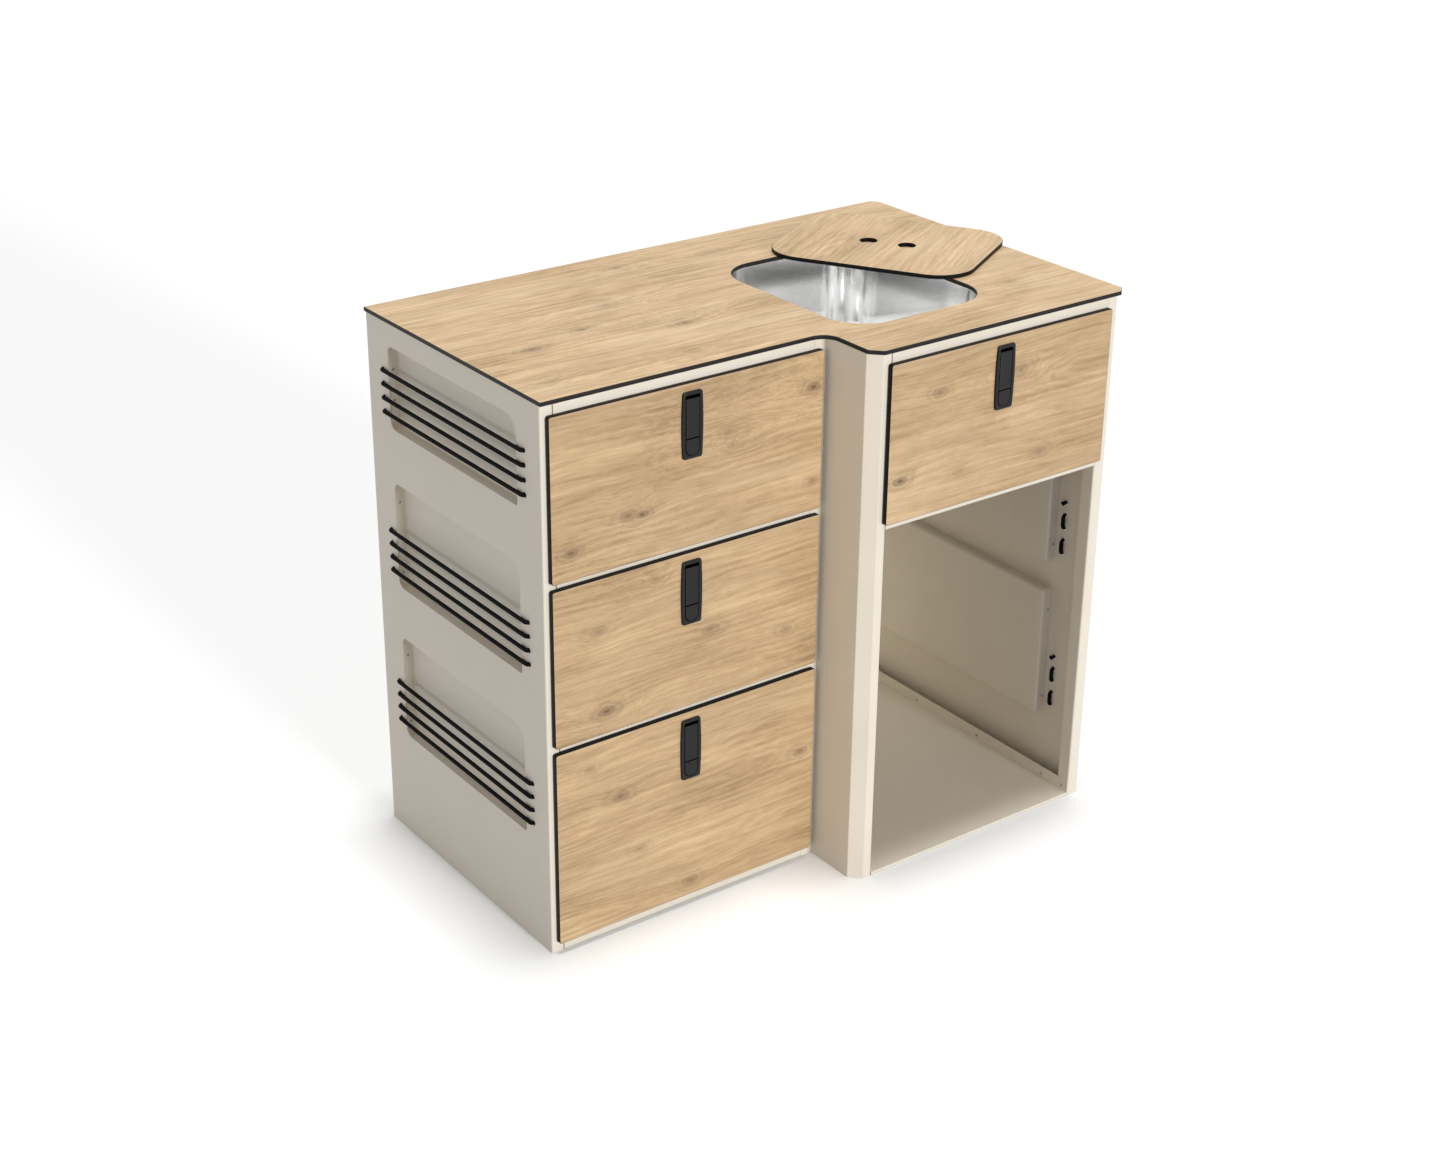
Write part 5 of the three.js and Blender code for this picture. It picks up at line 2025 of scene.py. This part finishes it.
@dataclass(kw_only=True)
class Drawer(Boards):
    """A drawer: its front, its steel tray, its runners and its latch.

    Attributes:
        name: Its name in the CAD nodes.
        x: Left and right ends of its front.
        z: Bottom and top of its front.
        face_y: Its front's outer face on Y.
        tray_x: Left and right ends of its tray.
        tray_z: Bottom and top of its tray.
        bolt_top: Top end of its latch bolt.
        seed: The depth of its front in the oak decor.
        knots: The knots in its front.
        tint: What its front's decor is multiplied by, painted shade against the front lamp.
        thickness: Thickness of its front.
        corner: Radius of its front's corners.
        latch_drop: From the front's top to the latch's middle.
        latch_room: From the latch's window to the hole in the front.
        hole_corner: Radius of that hole's corners.
        tray_gap: Room between the front and the tray.
        tray_back: Back end of the tray.
        tray_sheet: The sheet that the tray is folded from.
        tray_corner: Radius of the tray's upright corners, and the least that they may have.
        tray_fold: Radius of the fold round the tray's bottom.
        fold_angles: Where that fold has its points, in radians.
        hem: Height of the tray's hem.
        hem_fold: Radius of the fold over it.
        hem_angles: Where that fold has its points, in radians.
        notch_y: The two ends of the notch for the latch, from the tray's front.
        notch_over: How far the cut reaches over the tray.
    """

    name: str
    x: Span
    z: Span
    face_y: float
    tray_x: Span
    tray_z: Span
    bolt_top: float
    seed: float
    knots: tuple[Knot, ...]
    # Painted shade: the fronts' oak is darker than the worktop's, standing in for less light from the
    # front lamp.
    tint: PaintedShade = (0.92, 0.905, 0.885)
    thickness: float = 8
    corner: float = 4
    latch_drop: float = 61.4
    latch_room: float = 2.3
    hole_corner: float = 0.5
    tray_gap: float = 0.3
    tray_back: float = 466.5
    tray_sheet: Sheet = Sheet(1.0, 0.15)
    tray_corner: Span = (3.0, 0.4)
    tray_fold: float = 2.0
    fold_angles: tuple[float, ...] = (0.5, 1.0, 1.57)
    hem: float = 8
    hem_fold: float = 1.3
    hem_angles: tuple[float, ...] = (2.36, 1.57, 0.79)
    notch_y: Span = (-4, 6)
    notch_over: float = 20

    def latch(self) -> Latch:
        """Returns the drawer's latch in its place."""
        x, z = sum(self.x) / 2, self.z[1] - self.latch_drop
        return Latch(self.shop, self.name, x, self.face_y, z, self.bolt_top)

    def latch_hole(self) -> tuple[Span, Span]:
        """Measures the hole for the latch.

        Returns:
            Its two ends on X, and its bottom and top.
        """
        latch = self.latch()
        half, bottom, top = latch.window
        room = self.latch_room
        span = (latch.x - half - room, latch.x + half + room)
        return span, (latch.z + bottom - room, latch.z + top + room)

    def front(self) -> None:
        """Builds the front with the hole for its latch."""
        form = Form()
        hole = rounded(*self.latch_hole(), [self.hole_corner] * 4, 2)
        outline = rounded(self.x, self.z, [self.corner] * 4)
        form.slab([outline, hole], Axis.Y, (self.face_y, self.face_y + self.thickness))
        self.face(form, Axis.Y)
        oak = self.shop.finish.oak(
            f"oak_{self.name}", Axis.Y, self.seed, knots=self.knots, tint=self.tint
        )
        self.shop.piece(
            f"front_board_{self.name}",
            form,
            [oak, "black_core"],
            f"drawer_{self.name}",
            Slot.OAK,
            [f"drawer_front_{self.name}"],
        )

    def tray_ring(self, inset: float, z: float) -> list[Vector]:
        """Draws the tray's outline at a height.

        Args:
            inset: How far it is drawn in.
            z: The height.

        Returns:
            Its points.
        """
        front = self.face_y + self.thickness + self.tray_gap
        x = (self.tray_x[0] + inset, self.tray_x[1] - inset)
        y = (front + inset, self.tray_back - inset)
        radius, least = self.tray_corner
        outline = rounded(x, y, [max(radius - inset, least)] * 4, 5)
        return [Vector((u, v, z)) for u, v in outline]

    def tray_section(self) -> list[Point]:
        """Draws the section of the tray's wall, from inside its hem to its bottom.

        Returns:
            Pairs of an inset and a height.
        """
        bottom, top = self.tray_z
        fold, turn = self.tray_fold, self.hem_fold
        over = top - turn
        return [
            (2 * turn, top - self.hem),
            (2 * turn, over),
            *((turn - turn * math.cos(a), over + turn * math.sin(a)) for a in self.hem_angles),
            (0.0, over),
            (0.0, bottom + fold),
            *(
                (fold - fold * math.cos(a), bottom + fold - fold * math.sin(a))
                for a in self.fold_angles
            ),
        ]

    def tray(self) -> None:
        """Builds the steel tray with folded corners and hemmed upper edges."""
        form = Form()
        form.rings([self.tray_ring(inset, z) for inset, z in self.tray_section()])
        form.face_towards((0, 0, -1))
        piece = self.shop.piece(
            f"steel_tray_{self.name}",
            form,
            ["bright_zinc"],
            f"drawer_{self.name}",
            Slot.ZINC,
            [f"drawer_box_{self.name}"],
            self.tray_sheet,
        )
        span, (low, _) = self.latch_hole()
        top = self.tray_z[1]
        if low < top:
            front = self.face_y + self.thickness + self.tray_gap
            cutter = Form()
            y = (front + self.notch_y[0], front + self.notch_y[1])
            cutter.block(span, y, (low, top + self.notch_over))
            cutter.close_up()
            self.cut(piece, cutter)

    def cut(self, piece: Piece, cutter: Form) -> None:
        """Cuts a form out of a finished piece.

        Args:
            piece: The piece.
            cutter: The form, in carcass millimetres.
        """
        cutter.bm.transform(self.shop.frame.matrix())
        mesh = bpy.data.meshes.new("cutter")
        cutter.bm.to_mesh(mesh)
        cutter.bm.free()
        tool = bpy.data.objects.new("cutter", mesh)
        bpy.context.scene.collection.objects.link(tool)
        cut = piece.modifiers.new("notch", "BOOLEAN")
        cut.operation = "DIFFERENCE"
        cut.solver = "EXACT"
        cut.object = tool
        self.shop.smooth(piece)
        bpy.data.objects.remove(tool)
        bpy.data.meshes.remove(mesh)

    def build(self) -> None:
        """Builds the whole drawer."""
        self.front()
        self.tray()
        self.latch().build()
        for side in ("left", "right"):
            for member in ("cabinet", "drawer"):
                self.shop.dress(f"{member}_runner_{self.name}_{side}", "bright_zinc")


def drawers(shop: Workshop) -> list[Drawer]:
    """Lists the drawers.

    Args:
        shop: The workshop that finishes their pieces.

    Returns:
        The three on the left from the top down, and the one on the right.
    """
    left = {"shop": shop, "x": (7.8, 471.5), "face_y": -9, "tray_x": (34, 446.5)}
    top_z, top_bolt = (594.229, 838.9), 829
    return [
        Drawer(
            **left,
            name="left_top",
            z=top_z,
            tray_z=(602.08, 823.5),
            bolt_top=top_bolt,
            seed=0.3,
            knots=make_knots(
                (156, 663, 6, 1.0), (133, 667, 9, 0.75), (39, 635, 7, 0.9), (453, 786, 7, 1.0),
                (302, 752, 12, 0.45), (311, 731, 6, 0.5), (193, 787, 14, 0.35), (456, 641, 5, 0.7),
            ),
        ),
        Drawer(
            **left,
            name="left_middle",
            z=(340.66, 584.529),
            tray_z=(348.51, 569.13),
            bolt_top=582.18,
            seed=2.9,
            knots=make_knots(
                (82, 505, 9, 0.55), (274, 453, 10, 0.6), (413, 414, 7, 0.6), (94, 376, 8, 1.0),
                (180, 560, 8, 0.35),
            ),
        ),
        Drawer(
            **left,
            name="left_bottom",
            z=(17.3, 330.96),
            tray_z=(25.15, 315.56),
            bolt_top=328.61,
            seed=5.2,
            knots=make_knots(
                (116, 230, 9, 0.75), (446, 196, 8, 0.7), (64, 291, 6, 0.5), (240, 42, 9, 0.6),
                (150, 130, 8, 0.35),
            ),
        ),
        Drawer(
            shop,
            name="right",
            x=(505.8, 933.8),
            z=top_z,
            face_y=-116,
            tray_x=(526.5, 918.1),
            tray_z=(602.08, 652.08),
            bolt_top=top_bolt,
            seed=7.6,
            knots=make_knots(
                (753, 780, 9, 0.6), (597, 779, 9, 0.6), (530, 659, 8, 1.0), (803, 642, 7, 0.5),
                (644, 649, 7, 0.4),
            ),
        ),
    ]


@dataclass(frozen=True)
class Lamp:
    """A wide, even lamp that is far away.

    Attributes:
        name: Its name.
        strength: Its strength, in watts per square metre.
        way: The way from the pod to the lamp.
        angle: How wide it looks, in degrees.
    """

    name: str
    strength: float
    way: tuple[float, float, float]
    angle: float

    def build(self) -> None:
        """Adds the lamp to the scene."""
        data = bpy.data.lights.new(self.name, "SUN")
        data.energy = self.strength
        data.angle = math.radians(self.angle)
        lamp = bpy.data.objects.new(self.name, data)
        lamp.rotation_euler = Vector(self.way).to_track_quat("Z", "Y").to_euler()
        bpy.context.scene.collection.objects.link(lamp)


@dataclass
class Studio:
    """The camera, the lamps, the background and the floor.

    Attributes:
        frame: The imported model.
        camera_place: The camera's place, in carcass millimetres.
        azimuth: How far it is turned to the right, in degrees below nought.
        elevation: How far it looks down, in degrees.
        lens: Its focal length, in millimetres.
        sensor: Width of its sensor, in millimetres.
        shift: How far its picture is shifted, as shares of its width.
        camera_reach: How far it sees, in metres.
        ambient: Strength of the background's light.
        floor_size: Length and width of the floor, in metres.
        floor_tones: The floor's tone where it only lights, and where it is seen.
        lamps: In front of the pod, on its left and above it.
    """

    frame: Frame
    camera_place: tuple[float, float, float] = (-1485.3, -2392.0, 1935.3)
    azimuth: float = -35.246
    elevation: float = 24.222
    lens: float = 57.328
    sensor: float = 36
    shift: Point = (0.03827, -0.03027)
    camera_reach: float = 100
    ambient: float = 0.33
    floor_size: float = 60
    floor_tones: Span = (0.36, 0.94)
    lamps: tuple[Lamp, ...] = (
        Lamp("front_lamp", 2.2, (0.03, -0.985, 0.17), 9),
        Lamp("left_lamp", 0.53, (-1.0, 0.0, 0.1), 30),
        Lamp("top_lamp", 2.06, (0.05, 0.0, 1.0), 13),
    )

    def camera(self) -> None:
        """Places the camera where the photograph was taken from."""
        data = bpy.data.cameras.new("camera")
        data.lens = self.lens
        data.sensor_width = self.sensor
        data.sensor_fit = "HORIZONTAL"
        data.shift_x, data.shift_y = self.shift
        data.clip_end = self.camera_reach
        camera = bpy.data.objects.new("camera", data)
        camera.location = self.frame.point(self.camera_place)
        camera.rotation_euler = (math.radians(90 - self.elevation), 0, math.radians(self.azimuth))
        bpy.context.scene.collection.objects.link(camera)
        bpy.context.scene.camera = camera

    def seen(self, wiring: Wiring) -> Socket:
        """Tells the rays that see a surface from those that only light.

        Args:
            wiring: The wiring that needs it.

        Returns:
            One for rays that see, nought for the others.
        """
        path = wiring.node("ShaderNodeLightPath").outputs
        mirrored = wiring.math("MAXIMUM", path["Is Glossy Ray"], path["Is Transmission Ray"])
        return wiring.math("MAXIMUM", path["Is Camera Ray"], mirrored)

    def world(self) -> None:
        """Makes the white background and its plain soft light."""
        world = bpy.data.worlds.new("world")
        world.use_nodes = True
        bpy.context.scene.world = world
        wiring = Wiring(world.node_tree)
        shade = wiring.node("ShaderNodeBackground")
        shade.inputs["Color"].default_value = (1, 1, 1, 1)
        strength = wiring.node("ShaderNodeMapRange")
        values = (self.seen(wiring), 0, 1, self.ambient, 1.0)
        for socket, value in zip(strength.inputs, values):
            wiring.feed(socket, value)
        wiring.feed(shade.inputs["Strength"], strength.outputs[0])
        output = wiring.node("ShaderNodeOutputWorld")
        wiring.feed(output.inputs["Surface"], shade.outputs[0])

    def floor(self) -> None:
        """Makes the plain pale floor, which keeps the pod's shadow."""
        form = bmesh.new()
        bmesh.ops.create_grid(form, x_segments=1, y_segments=1, size=self.floor_size / 2)
        mesh = bpy.data.meshes.new("floor")
        form.to_mesh(mesh)
        form.free()
        paint, wiring, shader = new_material("studio_floor", "Diffuse")
        lit, shown = ((tone, tone, tone, 1) for tone in self.floor_tones)
        wiring.feed(shader.inputs["Color"], wiring.blend(self.seen(wiring), lit, shown))
        mesh.materials.append(paint)
        floor = bpy.data.objects.new("floor", mesh)
        bpy.context.scene.collection.objects.link(floor)

    def build(self) -> None:
        """Builds the whole studio."""
        self.camera()
        self.world()
        for lamp in self.lamps:
            lamp.build()
        self.floor()
        bpy.context.scene.view_settings.view_transform = "Standard"


def main() -> None:
    """Builds the pod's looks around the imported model."""
    logging.basicConfig(level=logging.INFO, format="%(message)s")
    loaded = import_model()
    frame = Frame(loaded["nodes"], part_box("left_side_panel")[0])
    Studio(frame).build()
    shop = Workshop(frame, Finishes(frame.zero))
    carcass = Carcass(shop)
    for pocket in carcass.pockets():
        pocket.cord()
    carcass.build()
    for drawer in drawers(shop):
        drawer.build()
    Worktop(shop).build()
    Sink(shop).build()


if __name__ == "__main__":
    main()
